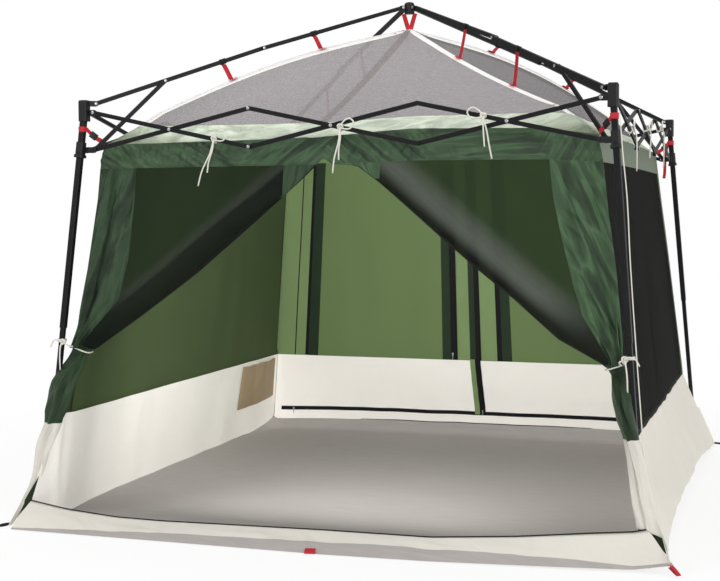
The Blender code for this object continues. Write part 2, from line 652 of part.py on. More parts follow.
def build_roof(material, parent):
    """Low pyramid of mesh with a steeper band at the eaves, hung by a strap from the hub."""
    halves = np.linspace(APEX_HALF, MESH_EDGE, ROOF_ROWS + 1)
    levels = [(half, np.interp(half, (APEX_HALF, MESH_EDGE), (APEX_Z, MESH_EDGE_Z))) for half in halves]
    levels += [((MESH_EDGE + EAVE) / 2, (MESH_EDGE_Z + EAVE_Z) / 2), (EAVE, EAVE_Z)]
    bm = bmesh.new()
    layers = []
    for drop in (0, -SHEET):
        rings = []
        for half, z in levels:
            slack = math.sin(math.pi * np.interp(half, (APEX_HALF, EAVE), (0, 1)))
            ring = []
            for quarter in range(4):
                turn = Matrix.Rotation(math.pi / 2 * quarter, 4, "Z")
                for share in np.linspace(-1, 1, ROOF_STEPS, endpoint=False):
                    dip = ROOF_SAG * slack * (1 - share**2)
                    ring.append(bm.verts.new(turn @ Vector((share * half, -half, z + drop - dip))))
            rings.append(ring)
        layers.append(rings)
        for inner, outer in zip(rings, rings[1:]):
            for i in range(len(inner)):
                j = (i + 1) % len(inner)
                bm.faces.new((inner[i], inner[j], outer[j], outer[i]))
        bm.faces.new(rings[0])
    for i in range(len(layers[0][-1])):
        j = (i + 1) % len(layers[0][-1])
        bm.faces.new((layers[0][-1][i], layers[0][-1][j], layers[1][-1][j], layers[1][-1][i]))
    shell = finish_mesh(bm, "roof")
    strap_top = HUB_CENTRE.z - HUB_BELOW_PIVOT - SEAM_GAP
    strap_outline = [
        (sx * STRAP_WIDTH / 2, sy * SHEET) for sx, sy in ((-1, -1), (1, -1), (1, 1), (-1, 1))
    ]
    strap = loft([(strap_outline, APEX_Z - SHEET / 2), (strap_outline, strap_top)])
    place("roof", combine(shell, [strap]), Vector((0, 0, 0)), 0, material, parent)


def build_groundsheet(material, parent):
    """Floor sheet notched for the feet, with a low sill along the doorway."""
    bm = bmesh.new()
    rings = []
    for x in np.linspace(-FLOOR_HALF, FLOOR_HALF, FLOOR_STATIONS):
        along = min(1, abs(x) / FLOOR_NOTCH)
        front = -FLOOR_HALF - FLOOR_BOW * (1 - along**2)
        top = SILL_HEIGHT + SILL_RISE * along**2
        lean = front + SILL_LEAN
        section = [
            (FLOOR_HALF, 0), (FLOOR_HALF, FLOOR_THICKNESS), (front + 2 * FLOOR_THICKNESS, FLOOR_THICKNESS),
            (lean + FLOOR_THICKNESS, top), (lean, top), (front, 0),
        ]
        rings.append([bm.verts.new((x, y, z)) for y, z in section])
    for left, right in zip(rings, rings[1:]):
        for i in range(len(left)):
            j = (i + 1) % len(left)
            bm.faces.new((left[i], left[j], right[j], right[i]))
    bm.faces.new(list(reversed(rings[0])))
    bm.faces.new(rings[-1])
    floor = finish_mesh(bm, "groundsheet")
    outline = rounded_square(2 * FLOOR_NOTCH, FOOT_CORNER)
    notches = []
    for sx, sy in ((-1, -1), (1, -1), (1, 1), (-1, 1)):
        centre = Vector((sx * 2 * FLOOR_NOTCH, sy * 2 * FLOOR_NOTCH, 0))
        notches.append(loft([(outline, -SILL_HEIGHT), (outline, SKIRT_TOP_Z)], Matrix.Translation(centre)))
    place("groundsheet", combine(floor, cuts=notches), Vector((0, 0, 0)), 0, material, parent)


def main():
    clear_scene()
    frame = bpy.data.objects.new("frame", None)
    tent = bpy.data.objects.new("tent", None)
    for empty in (frame, tent):
        bpy.context.scene.collection.objects.link(empty)
    steel = make_material("black_steel", (0.012, 0.012, 0.013), 0.42, 0.6)
    plastic = make_material("black_plastic", (0.015, 0.015, 0.016), 0.5, 0.0)
    green = make_material("green_polyester", (0.035, 0.085, 0.035), 0.6, 0.0)
    mesh_grey = make_material("grey_mesh", (0.40, 0.38, 0.39), 0.8, 0.0)
    sheet_grey = make_material("grey_groundsheet", (0.35, 0.33, 0.31), 0.8, 0.0)
    build_hub(plastic, frame)
    build_rafters(steel, frame)
    build_truss(steel, frame)
    build_brackets(plastic, frame)
    build_sliders(plastic, frame)
    build_legs(steel, frame)
    build_roof(mesh_grey, tent)
    build_walls(green, tent)
    build_doors(green, tent)
    build_groundsheet(sheet_grey, tent)


main()
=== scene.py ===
"""Pop-up screen house: tent, trim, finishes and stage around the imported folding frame.

Every piece is in metres, in the frame's own axes: +Z up, the doorway faces -Y.
A side is worked out as if it were the front one, with s to the right seen from outside, and then turned.
"""

import json
import math

import bpy
import numpy as np
from mathutils import Matrix, Vector, noise


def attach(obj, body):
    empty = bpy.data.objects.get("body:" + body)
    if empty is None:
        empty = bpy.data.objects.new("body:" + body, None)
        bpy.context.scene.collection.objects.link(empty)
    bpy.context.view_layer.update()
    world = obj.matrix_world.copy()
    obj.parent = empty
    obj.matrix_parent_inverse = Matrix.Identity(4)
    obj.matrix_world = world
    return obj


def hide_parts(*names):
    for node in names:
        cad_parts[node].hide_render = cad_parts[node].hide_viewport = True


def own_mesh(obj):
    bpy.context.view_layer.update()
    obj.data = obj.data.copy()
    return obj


bl_info = {
    "name": "Screen House",
    "version": (1, 0, 0),
    "blender": (4, 5, 0),
    "location": "View3D > Sidebar > Screen House",
    "description": "Dresses a folding frame with the tent, straps, ties and finishes of a screen house",
    "category": "Object",
}

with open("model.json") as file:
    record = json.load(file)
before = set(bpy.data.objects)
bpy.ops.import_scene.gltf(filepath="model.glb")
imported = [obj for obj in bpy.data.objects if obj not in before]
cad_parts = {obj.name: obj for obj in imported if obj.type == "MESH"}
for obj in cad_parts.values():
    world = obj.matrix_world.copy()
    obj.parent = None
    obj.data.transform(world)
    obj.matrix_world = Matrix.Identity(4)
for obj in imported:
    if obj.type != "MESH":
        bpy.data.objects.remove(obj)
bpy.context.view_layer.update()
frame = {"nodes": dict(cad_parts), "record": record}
BODY_OF_NODE = {node: body for body, nodes in frame["record"]["behaviour"]["bodies"].items() for node in nodes}
PIVOTS = {
    joint["name"]: np.array(joint["pos_m"])
    for joint in frame["record"]["behaviour"]["joints"] if joint.get("pos_m")
}

CORNERS = ("front_left", "front_right", "back_right", "back_left")
SIDES = ("front", "right", "back", "left")
DIAGONAL = math.sqrt(2)


def linear(red, green, blue):
    """Scene colour of an 8-bit screen colour."""
    share = np.array((red, green, blue)) / 255
    return tuple(np.where(share < 0.04045, share / 12.92, ((share + 0.055) / 1.055) ** 2.4))


def length(name, description, default):
    return bpy.props.FloatProperty(
        name=name, description=description, default=default, unit="LENGTH", precision=4
    )


def colour(name, description, *screen):
    return bpy.props.FloatVectorProperty(
        name=name, description=description, default=linear(*screen), subtype="COLOR", min=0, max=1
    )


class ScreenHouseSizes(bpy.types.PropertyGroup):
    """Sizes of the tent, which hang from the frame's own places."""

    eave_half: length("Eave half width", "From the middle to the eaves", 1.18)
    eave_height: length("Eave height", "Ground to the eaves", 1.78)
    kink_half: length("Kink half width", "From the middle to where the roof turns steeper", 0.99)
    kink_height: length("Kink height", "Ground to where the roof turns steeper", 1.925)
    net_half: length("Roof net half width", "From the middle to the lower edge of the roof's net", 1.062)
    peak_half: length("Peak half width", "Half width of the patch at the peak", 0.02)
    peak_height: length("Peak height", "Ground to the peak of the roof", 2.42)
    hip_tape: length("Hip tape", "Width of the binding tape on each side of a hip", 0.036)
    skirt_half: length("Skirt half width", "From the middle to the skirt's upper edge", 1.34)
    skirt_height: length("Skirt height", "Ground to the skirt's upper edge", 0.46)
    hem_half: length("Hem half width", "From the middle to the hem on the ground", 1.525)
    leg_spread: length("Leg spread", "From the middle planes to a leg's axis on the ground", 1.4102)
    header: length("Header height", "Solid strip of a wall under the eaves", 0.115)
    cloth: length("Cloth", "Drawn thickness of cloth", 0.0012)
    tub_height: length("Tub height", "Ground to the upper edge of the cream tub inside", 0.50)
    webbing: length("Webbing", "Width of the hanging straps", 0.027)
    cord: length("Cord", "Diameter of the tie cords", 0.007)
    piping: length("Piping", "Diameter of the bound edges", 0.006)


class ScreenHouseColours(bpy.types.PropertyGroup):
    """Colours of the finishes."""

    green: colour("Green", "Coated cloth, outside", 42, 61, 40)
    panel: colour("Panel green", "Storm panels, inside", 100, 120, 76)
    pale_green: colour("Pale green", "Single cloth with light behind it", 117, 139, 92)
    # The band's green cloth is written pale: painted light through it and painted reflection of the sky.
    band: colour("Band", "Sloping band at the eaves", 200, 210, 190)
    cream: colour("Cream", "Skirt and sill", 228, 224, 214)
    # Written lighter than the skirt's cream: painted light for the dim inside of the tent.
    tub: colour("Tub cream", "Tub inside the walls", 251, 248, 241)
    net: colour("Window net", "Dark netting of the flaps", 31, 44, 23)
    roof_net: colour("Roof net", "Grey netting of the roof", 147, 142, 144)
    floor: colour("Groundsheet", "Coated cloth of the floor", 160, 155, 151)
    webbing: colour("Webbing", "Red straps", 200, 40, 50)
    cord: colour("Cord", "Tie cords", 234, 232, 220)
    pocket: colour("Pocket", "Inner pocket", 160, 140, 110)
    steel: colour("Steel", "Powder coat of the frame", 18, 18, 20)
    plastic: colour("Plastic", "Moulded fittings", 20, 20, 21)


def sizes():
    return bpy.context.scene.screen_house_sizes


def colours():
    return bpy.context.scene.screen_house_colours


# Finishes


def arithmetic(operation, reflected=False):
    """Method of a Field that adds a Math node; a reflected one has the other value first."""

    def method(self, other=0.0):
        pair = (other, self) if reflected else (self, other)
        return self.paint.node("ShaderNodeMath", {"operation": operation}, dict(enumerate(pair)))

    return method


class Field:
    """Output of a material node, for use in Python arithmetic."""

    __add__, __radd__ = arithmetic("ADD"), arithmetic("ADD", True)
    __sub__, __rsub__ = arithmetic("SUBTRACT"), arithmetic("SUBTRACT", True)
    __mul__, __rmul__ = arithmetic("MULTIPLY"), arithmetic("MULTIPLY", True)
    __pow__, __abs__ = arithmetic("POWER"), arithmetic("ABSOLUTE")

    def __init__(self, paint, socket):
        self.paint = paint
        self.socket = socket


class Paint:
    """A material in the making: its shader, and the nodes that feed it."""

    def __init__(self, name, roughness, gloss):
        self.material = bpy.data.materials.new(name)
        self.material.use_nodes = True
        self.tree = self.material.node_tree
        self.shader = self.tree.nodes["Principled BSDF"]
        self.feed(Roughness=roughness, Specular_IOR_Level=gloss)

    def plug(self, socket, value):
        if isinstance(value, Field):
            self.tree.links.new(value.socket, socket)
        elif hasattr(value, "__len__") and len(value) == 3 and socket.type == "RGBA":
            socket.default_value = (*value, 1)
        else:
            socket.default_value = value

    def node(self, kind, settings=None, inputs=None, output=0):
        node = self.tree.nodes.new(kind)
        for name, value in (settings or {}).items():
            setattr(node, name, value)
        for key, value in (inputs or {}).items():
            self.plug(node.inputs[key], value)
        return Field(self, node.outputs[output])

    def feed(self, **inputs):
        for socket, value in inputs.items():
            self.plug(self.shader.inputs[socket.replace("_", " ")], value)

    def uv(self, scale):
        """The piece's own UV map, in metres, times a scale along and across."""
        flat = self.node("ShaderNodeUVMap")
        return self.node("ShaderNodeMapping", None, {"Vector": flat, "Scale": (*scale, 1)})

    def place(self, scale=(1, 1, 1)):
        """Object coordinates times a scale on each axis."""
        at = self.node("ShaderNodeTexCoord", output=3)
        return self.node("ShaderNodeMapping", None, {"Vector": at, "Scale": scale})

    def spun(self, angle, scale):
        """Object coordinates turned in the x-z plane, then scaled: along the angle, on y, and across it."""
        turned = self.node("ShaderNodeMapping", None, {"Vector": self.place(), "Rotation": (0, angle, 0)})
        return self.node("ShaderNodeMapping", None, {"Vector": turned, "Scale": scale})

    def axis(self, vector, index):
        return self.node("ShaderNodeSeparateXYZ", None, {0: vector}, index)

    def noise(self, vector, scale, detail=3.0, roughness=0.55, distortion=0.0):
        values = {
            "Vector": vector, "Scale": scale, "Detail": detail,
            "Roughness": roughness, "Distortion": distortion,
        }
        return self.node("ShaderNodeTexNoise", None, values)

    def between(self, value, low, high):
        """Smooth step from 0 at low to 1 at high."""
        return self.node(
            "ShaderNodeMapRange", {"interpolation_type": "SMOOTHSTEP"}, {0: value, 1: low, 2: high}
        )

    def sine(self, value):
        return self.node("ShaderNodeMath", {"operation": "SINE"}, {0: value})

    def mix(self, share, first, second):
        return self.node("ShaderNodeMix", {"data_type": "RGBA"}, {0: share, 6: first, 7: second}, 2)

    def bump(self, height, strength, distance):
        values = {"Strength": strength, "Distance": distance, "Height": height}
        self.feed(Normal=self.node("ShaderNodeBump", None, values))


def shade(tone, share):
    """Tone made darker (share below 1) or lighter."""
    return tuple(min(1, c * share) for c in tone)


THREAD_PITCH, NET_PITCH, TAPE_PITCH = 0.003, 0.004, 0.002  # of the weave in cloth, net and tape
THREAD_HEIGHT, PULL_HEIGHT = 0.0005, 0.008  # relief of the threads and of the pull lines


def weave(paint, pitch):
    """Height of a plain weave, 0 to 1, from the UV map."""
    turn = 2 * math.pi / pitch
    at = paint.uv((turn, turn))
    return paint.sine(paint.axis(at, 0)) * paint.sine(paint.axis(at, 1)) * 0.5 + 0.5


def woven(paint, tone, tint, threads, clouds, roughness):
    """Feed a cloth's colour, darker between its threads, and a roughness that varies with the clouds."""
    paint.feed(Base_Color=paint.mix(threads * 0.25, tint, shade(tone, 0.7)))
    paint.feed(Roughness=clouds * 0.16 + (roughness - 0.08))


def cloth_paint(
    name, tone, roughness, crease=0.0, crease_scale=(3.0, 3.0), mottle=0.12, pitch=THREAD_PITCH, gloss=0.4
):
    """Woven cloth: threads, faint mottling, and creases that follow the cloth."""
    paint = Paint(name, roughness, gloss)
    threads = weave(paint, pitch)
    clouds = paint.noise(paint.uv((4, 4)), 1.0)
    tint = paint.mix(clouds, shade(tone, 1 - mottle), shade(tone, 1 + mottle))
    woven(paint, tone, tint, threads, clouds, roughness)
    folds = paint.noise(paint.uv(crease_scale), 1.0, 4.0, 0.5, 0.6)
    ridges = 1 - abs(folds * 2 - 1)
    paint.bump(ridges * ridges * crease + threads * THREAD_HEIGHT, 1.0, 1.0)
    return paint.material


def satin_paint(name, tone, pulls, gloss, pitch=26, shine=0.42, roughness=0.34):
    """Coated cloth drawn into pull lines, in painted shade and painted light across them and with painted highlights
    on their ridges. Pulls are the angle of the lines, and x where they set in and are full.
    """
    paint = Paint(name, roughness, gloss)
    x = paint.axis(paint.place(), 0)
    lines = None
    for angle, low, high in pulls:
        more = paint.noise(paint.spun(angle, (2.6, 2.6, pitch)), 1.0, 3.0, 0.55, 0.4)
        if lines:
            share = paint.between(x, low, high)
            more = lines * (1 - share) + more * share
        lines = more
    threads = weave(paint, THREAD_PITCH)
    ridges = (1 - abs(lines * 2 - 1)) ** 7
    # Painted shade and painted light across the pull lines, then painted highlights on their ridges, as a satin
    # sheen.
    tint = paint.mix(paint.between(lines, 0.34, 0.66), shade(tone, 0.5), shade(tone, 1.3))
    tint = paint.mix(ridges * shine, tint, shade(tone, 4.2))
    woven(paint, tone, tint, threads, lines, roughness)
    paint.bump(lines * PULL_HEIGHT + threads * THREAD_HEIGHT, 1.0, 1.0)
    return paint.material


BANDS_END = (1.12, 0.90)  # heights between which the flaps' bands die away


def netted(paint, cover, threads, streaks, thread_share=0.06, streak_share=0.06):
    """Let a net be seen through: its two layers together cover so much, a little more or less by its threads."""
    layer = 1 - math.sqrt(1 - cover)
    spread = (thread_share + streak_share) / 2
    paint.feed(Alpha=threads * thread_share + streaks * streak_share + (layer - spread))
    paint.bump(threads, 0.2, THREAD_HEIGHT)
    return paint.material


def flap_net_paint(name, hand, tone, edge, bands, cover):
    """Netting of a flap with bands along its drawn edge, where it is rolled and doubled: a dark base in painted shade
    under the roll, a painted highlight on it, then the window's own tone. Bands are (from, to, tone).
    """
    paint = Paint(name, 0.6, 0.1)
    threads = weave(paint, NET_PITCH)
    (x, z), (far_x, far_z) = edge
    run = math.hypot(far_x - x, far_z - z)
    across, up = (z - far_z) / run, (far_x - x) / run
    at = paint.place()
    inward = (paint.axis(at, 0) * hand - x) * across + (paint.axis(at, 2) - z) * up
    tint = tone
    for low, high, band in bands:
        tint = paint.mix(paint.between(inward, low, high), tint, band)
    tint = paint.mix(paint.between(paint.axis(at, 2), *BANDS_END), tint, tone)
    streaks = paint.noise(paint.uv((26, 1.2)), 1.0, 2.0)
    tint = paint.mix(streaks * 0.3, tint, tone)
    paint.feed(Base_Color=paint.mix(threads * 0.2, tint, shade(tone, 1.3)))
    return netted(paint, cover, threads, streaks)


def net_paint(name, tone, cover):
    """Fine dark netting, in streaks the way it hangs."""
    paint = Paint(name, 0.7, 0.06)
    threads = weave(paint, NET_PITCH)
    streaks = paint.noise(paint.uv((26, 1.2)), 1.0, 2.0)
    tint = paint.mix(streaks, shade(tone, 0.85), shade(tone, 1.2))
    paint.feed(Base_Color=paint.mix(threads * 0.3, tint, shade(tone, 1.3)))
    return netted(paint, cover, threads, streaks)


def roof_net_paint(name, tone, cover):
    """Fine grey netting with a slub weave that shows as short streaks along the threads."""
    paint = Paint(name, 0.8, 0.2)
    threads = weave(paint, NET_PITCH)
    slubs = paint.noise(paint.uv((30, 160)), 1.0, 3.0, 0.6)
    tint = paint.mix(slubs, shade(tone, 0.7), shade(tone, 1.3))
    paint.feed(Base_Color=paint.mix(threads * 0.25, tint, shade(tone, 1.25)))
    return netted(paint, cover, threads, slubs, 0.05, 0.14)


CORNER_SPREAD = (0.85, 1.35)  # x times y where the eaves' band begins to be doubled, and where it is
BAND_SHADE = (1.845, 1.775)  # heights between which the band turns greener


def band_paint(name, pale, green):
    """Band at the eaves: painted pale, as light through it and painted reflection of the sky, greener where the
    corners are doubled and towards its lower edge, with painted shade and light across its folds.
    """
    paint = Paint(name, 0.5, 0.35)
    at = paint.place()
    corner = paint.between(abs(paint.axis(at, 0) * paint.axis(at, 1)), *CORNER_SPREAD)
    folds = paint.noise(paint.uv((6, 14)), 1.0, 4.0, 0.55, 0.8)
    # Painted shade and painted light across the folds.
    tint = paint.mix(paint.between(folds, 0.3, 0.7), shade(pale, 0.6), shade(pale, 1.12))
    low = paint.between(paint.axis(at, 2), *BAND_SHADE)
    paint.feed(Base_Color=paint.mix(corner * 0.6 + low * 0.25, tint, green))
    ridges = 1 - abs(folds * 2 - 1)
    paint.bump(ridges * 0.012, 1.0, 1.0)
    return paint.material


def floor_paint(name, tone):
    """Groundsheet: a slub weave with long faint streaks across the tent."""
    paint = Paint(name, 0.75, 0.3)
    slubs = paint.noise(paint.place((6, 90, 6)), 1.0, 4.0, 0.65)
    clouds = paint.noise(paint.place((1.3, 1.3, 1.3)), 1.0)
    tint = paint.mix(slubs, shade(tone, 0.78), shade(tone, 1.18))
    paint.feed(Base_Color=paint.mix(clouds * 0.3, tint, shade(tone, 0.9)))
    paint.bump(slubs * 0.001 + clouds * 0.006, 0.6, 1.0)
    return paint.material


def metal_paint(name, tone, metallic, roughness, gloss=0.5):
    """Powder coat or moulded plastic: an orange-peel skin with faint scuffs."""
    paint = Paint(name, roughness, gloss)
    paint.feed(Metallic=metallic)
    skin = paint.noise(paint.place(), 420.0, 2.0)
    scuffs = paint.between(paint.noise(paint.place((18, 18, 5)), 1.0, 5.0, 0.7), 0.58, 0.8)
    paint.feed(Base_Color=paint.mix(scuffs * 0.4, tone, shade(tone, 2.0)))
    paint.feed(Roughness=scuffs * 0.2 + roughness)
    paint.bump(skin, 0.12, 0.0006)
    return paint.material


def strand_paint(name, tone, pitch, slant):
    """Cord or webbing: strands that run slanting round and along it, by its UV map."""
    paint = Paint(name, 0.7, 0.3)
    turn = 2 * math.pi / pitch
    at = paint.uv((turn * slant, turn))
    around, along = paint.axis(at, 0), paint.axis(at, 1)
    strands = paint.sine(along + around) * paint.sine(along - around) * 0.5 + 0.5
    wear = paint.noise(paint.uv((60, 18)), 1.0)
    tint = paint.mix(wear, shade(tone, 0.85), shade(tone, 1.12))
    paint.feed(Base_Color=paint.mix(strands * 0.35, shade(tone, 0.72), tint))
    paint.bump(strands, 0.6, 0.0006)
    return paint.material


FINISHES = {}


def mix_finishes():
    """Make every finish once, from the chosen colours."""
    tone = colours()
    black = linear(16, 16, 17)
    lining = 0.75, 0.001, (1.6, 1.6), 0.05, THREAD_PITCH, 0.2
    FINISHES.update(
        green=cloth_paint("green_cloth", tone.green, 0.36, 0.004, (6.0, 3.0), 0.16, gloss=0.35),
        # The headers and borders carry painted shade and painted highlights along their pull lines.
        header_left=satin_paint("left_header_cloth", tone.green, ((-0.52, 0, 1), (0.62, -0.55, -0.35)), 0.3),
        header_right=satin_paint(
            "right_header_cloth", tone.green, ((-0.75, 0, 1), (0.04, 0.3, 0.55), (1.05, 0.9, 1.0)), 0.3
        ),
        # The left border is a darker copy of the green: painted shade.
        border_left=satin_paint("left_border_cloth", shade(tone.green, 0.64), ((1.33, 0, 1),), 0.2, 20),
        border_right=satin_paint("right_border_cloth", tone.green, ((-1.12, 0, 1),), 0.28, 18, 0.6),
        panel=cloth_paint("panel_cloth", tone.panel, *lining),
        # Darker copy of the panel green, for the side walls: painted shade.
        dark_panel=cloth_paint("shaded_panel_cloth", shade(tone.panel, 0.46), *lining),
        pale_green=cloth_paint("pale_green_cloth", tone.pale_green, 0.6, 0.004, (4.0, 1.6), 0.12, gloss=0.2),
        # Darker copy of the green: painted shade, for the strips beside the back wall's zips and the flaps' corner
        # patches.
        dark_green=cloth_paint("shaded_green_cloth", shade(tone.green, 0.62), 0.6, 0.003, (4.0, 3.0), 0.14, gloss=0.2),
        side_header=cloth_paint("side_header_cloth", linear(112, 122, 106), 0.55, 0.004, (5.0, 3.0), 0.1, gloss=0.3),
        cream=cloth_paint("cream_cloth", tone.cream, 0.68, 0.003, (2.2, 2.2), 0.04, gloss=0.25),
        # Darker copy of the cream, for the sill and the flaps' feet: painted shade.
        sill=cloth_paint("sill_cloth", shade(tone.cream, 0.87), 0.68, 0.004, (5.0, 2.2), 0.06, gloss=0.25),
        tub=cloth_paint("tub_cloth", tone.tub, 0.68, 0.003, (2.2, 2.2), 0.03, gloss=0.25),
        zip=cloth_paint("zip_tape", black, 0.7, 0.0, (1, 1), 0.1, TAPE_PITCH, gloss=0.2),
        # Flaps' nets: the dark base is the rolled, doubled edge in painted shade; the first band is a painted
        # highlight on the roll, the second fades into the window's own tone.
        net_left=flap_net_paint(
            "left_window_net", -1, linear(11, 16, 15), FLAPS[-1]["edge"],
            ((0.09, 0.115, linear(50, 56, 48)), (0.12, 0.17, tone.net)), 0.90,
        ),
        net_right=flap_net_paint(
            "right_window_net", 1, linear(18, 20, 18), FLAPS[1]["edge"],
            ((0.025, 0.09, linear(84, 90, 82)), (0.10, 0.20, shade(tone.net, 1.7))), 0.965,
        ),
        wall_net=net_paint("wall_net", linear(19, 19, 19), 0.93),
        roof_net=roof_net_paint("roof_net", tone.roof_net, 0.74),
        # Darker copy of the roof net for the right-hand panel: painted shade.
        side_roof_net=roof_net_paint("shaded_roof_net", shade(tone.roof_net, 0.62), 0.82),
        tape=cloth_paint("binding_tape", linear(240, 239, 236), 0.7, 0.0, (1, 1), 0.03, TAPE_PITCH),
        # Inner face of the white hip tape, dark olive: painted shade where it is seen through the net.
        hip_seam=cloth_paint("hip_tape_inner_face_in_shade", linear(96, 92, 58), 0.7, 0.0, (1, 1), 0.1, TAPE_PITCH),
        band=band_paint("eave_band", tone.band, shade(tone.pale_green, 0.45)),
        floor=floor_paint("floor_cloth", tone.floor),
        webbing=strand_paint("red_webbing", tone.webbing, 0.0032, 0.5),
        cord=strand_paint("tie_cord", tone.cord, 0.006, 1.4),
        black_webbing=strand_paint("black_webbing", black, 0.0032, 0.5),
        piping=strand_paint("bound_edge", black, 0.004, 0.3),
        pocket=cloth_paint("pocket_cloth", tone.pocket, 0.75, 0.003, (9, 5), 0.1),
        steel=metal_paint("black_powder_coat", tone.steel, 0.0, 0.42, 0.2),
        plastic=metal_paint("black_moulding", tone.plastic, 0.0, 0.5, 0.3),
        rivet=metal_paint("zinc_rivet", linear(168, 168, 171), 0.85, 0.36),
    )


# Shapes of cloth, cord and webbing


def smooth(value, low, high):
    share = np.clip((value - low) / (high - low), 0, 1)
    return share * share * (3 - 2 * share)


def ripple(x, y, z=0.0):
    """Smooth noise in about -1 to 1."""
    return noise.noise(Vector((x, y, z)))


def hump(value, middle, width):
    """Bell of height 1 round a middle."""
    return math.exp(-(((value - middle) / width) ** 2))


def creases(x, y, angle, pitch, stretch, seed):
    """Sharp-ridged wrinkles, about -1 to 1, that run at an angle from the x axis."""
    along = x * math.cos(angle) + y * math.sin(angle)
    across = y * math.cos(angle) - x * math.sin(angle)
    return 0.6 - 2.2 * abs(ripple(along / (pitch * stretch), across / pitch, seed))


def quarter_turn(side):
    return np.array(Matrix.Rotation(math.pi / 2 * side, 3, "Z"))


def turned(point, side):
    return quarter_turn(side) @ np.asarray(point, float)


def unit(vectors):
    return vectors / np.maximum(np.linalg.norm(vectors, axis=-1, keepdims=True), 1e-9)


def lattice(rows, columns, point):
    """Grid of points, one for each row and column."""
    return np.array([[point(row, column) for column in columns] for row in rows])


def link(name, mesh):
    piece = bpy.data.objects.new(name, mesh)
    bpy.context.scene.collection.objects.link(piece)
    return piece


def drawn_mesh(name, points, faces, kinds, marks, flat, rounded=True):
    """Mesh with finishes and a UV map, flat being each point's place on the unrolled cloth in metres."""
    mesh = bpy.data.meshes.new(name)
    mesh.from_pydata(np.asarray(points).tolist(), [], faces)
    for kind in kinds:
        mesh.materials.append(FINISHES[kind])
    mesh.polygons.foreach_set("material_index", marks)
    mesh.polygons.foreach_set("use_smooth", [rounded] * len(faces))
    layer = mesh.uv_layers.new(name="flat")
    corner = np.zeros(len(mesh.loops), np.int32)
    mesh.loops.foreach_get("vertex_index", corner)
    layer.data.foreach_set("uv", np.asarray(flat, np.float32)[corner].ravel())
    return mesh


def grid_sizes(grid):
    """Greatest width, greatest length and area of a grid of points."""
    across = np.linalg.norm(np.diff(grid, axis=1), axis=2)
    down = np.linalg.norm(np.diff(grid, axis=0), axis=2)
    diagonals = np.cross(grid[1:, 1:] - grid[:-1, :-1], grid[1:, :-1] - grid[:-1, 1:])
    area = np.linalg.norm(diagonals, axis=2).sum() / 2
    return across.sum(1).max(), down.sum(0).max(), area


def sheet(name, grid, zones, lining=None):
    """Cloth through a grid of points: rows go down, columns go right as seen from outside.

    zones has the name of a finish for each square. A second layer lies a cloth's thickness behind,
    in the lining's finish where one is given, and the edges are closed.
    """
    grid = np.asarray(grid, float)
    rows, columns = grid.shape[:2]
    if isinstance(zones, str):
        zones = np.full((rows - 1, columns - 1), zones, dtype=object)
    outward = unit(np.cross(np.gradient(grid, axis=0), np.gradient(grid, axis=1)))
    inner = grid - outward * sizes().cloth
    points = np.concatenate([grid.reshape(-1, 3), inner.reshape(-1, 3)])
    step = np.linalg.norm(np.diff(grid, axis=1, prepend=grid[:, :1]), axis=2).cumsum(1)
    fall = np.linalg.norm(np.diff(grid, axis=0, prepend=grid[:1]), axis=2).cumsum(0)
    flat = np.stack([step, fall], axis=2).reshape(-1, 2)
    count = rows * columns
    kinds = sorted(set(np.unique(zones)) | set((lining or {}).values()))
    faces, marks, edges = [], [], {}
    for i in range(rows - 1):
        for j in range(columns - 1):
            a, b = i * columns + j, (i + 1) * columns + j
            c, d = b + 1, a + 1
            kind = zones[i][j]
            faces.append((a, b, c, d))
            marks.append(kinds.index(kind))
            faces.append((d + count, c + count, b + count, a + count))
            marks.append(kinds.index((lining or {}).get(kind, kind)))
            for edge in ((a, b), (b, c), (c, d), (d, a)):
                key = tuple(sorted(edge))
                edges[key] = None if key in edges else (edge, kinds.index(kind))
    for (a, b), mark in filter(None, edges.values()):
        faces.append((b, a, a + count, b + count))
        marks.append(mark)
    mesh = drawn_mesh(name, points, faces, kinds, marks, np.concatenate([flat, flat]))
    borders = {key for key, value in edges.items() if value}
    borders |= {(a + count, b + count) for a, b in borders}
    mesh.edges.foreach_set("use_edge_sharp", [tuple(sorted(edge.vertices)) in borders for edge in mesh.edges])
    return link(name, mesh)


def declare_sheet(grid):
    width, long, area = grid_sizes(np.asarray(grid, float))
    width = min(width, area / (0.5 * long))


def even_path(points, count):
    """Smooth curve through the points, in even steps."""
    points = np.asarray(points, float)
    points = np.vstack([2 * points[0] - points[1], points, 2 * points[-1] - points[-2]])
    dense = []
    for a, b, c, d in zip(points, points[1:], points[2:], points[3:]):
        for t in np.linspace(0, 1, 20, endpoint=False):
            dense.append(
                0.5 * (2 * b + (c - a) * t + (2 * a - 5 * b + 4 * c - d) * t**2 + (3 * b - a - 3 * c + d) * t**3)
            )
    dense = np.array([*dense, points[-2]])
    run = np.concatenate([[0], np.linalg.norm(np.diff(dense, axis=0), axis=1).cumsum()])
    even = np.linspace(0, run[-1], count)
    return np.stack([np.interp(even, run, dense[:, k]) for k in range(3)], axis=1)


def directions(path, looped):
    """Way the path runs at each of its points."""
    return unit(np.roll(path, -1, axis=0) - np.roll(path, 1, axis=0) if looped else np.gradient(path, axis=0))


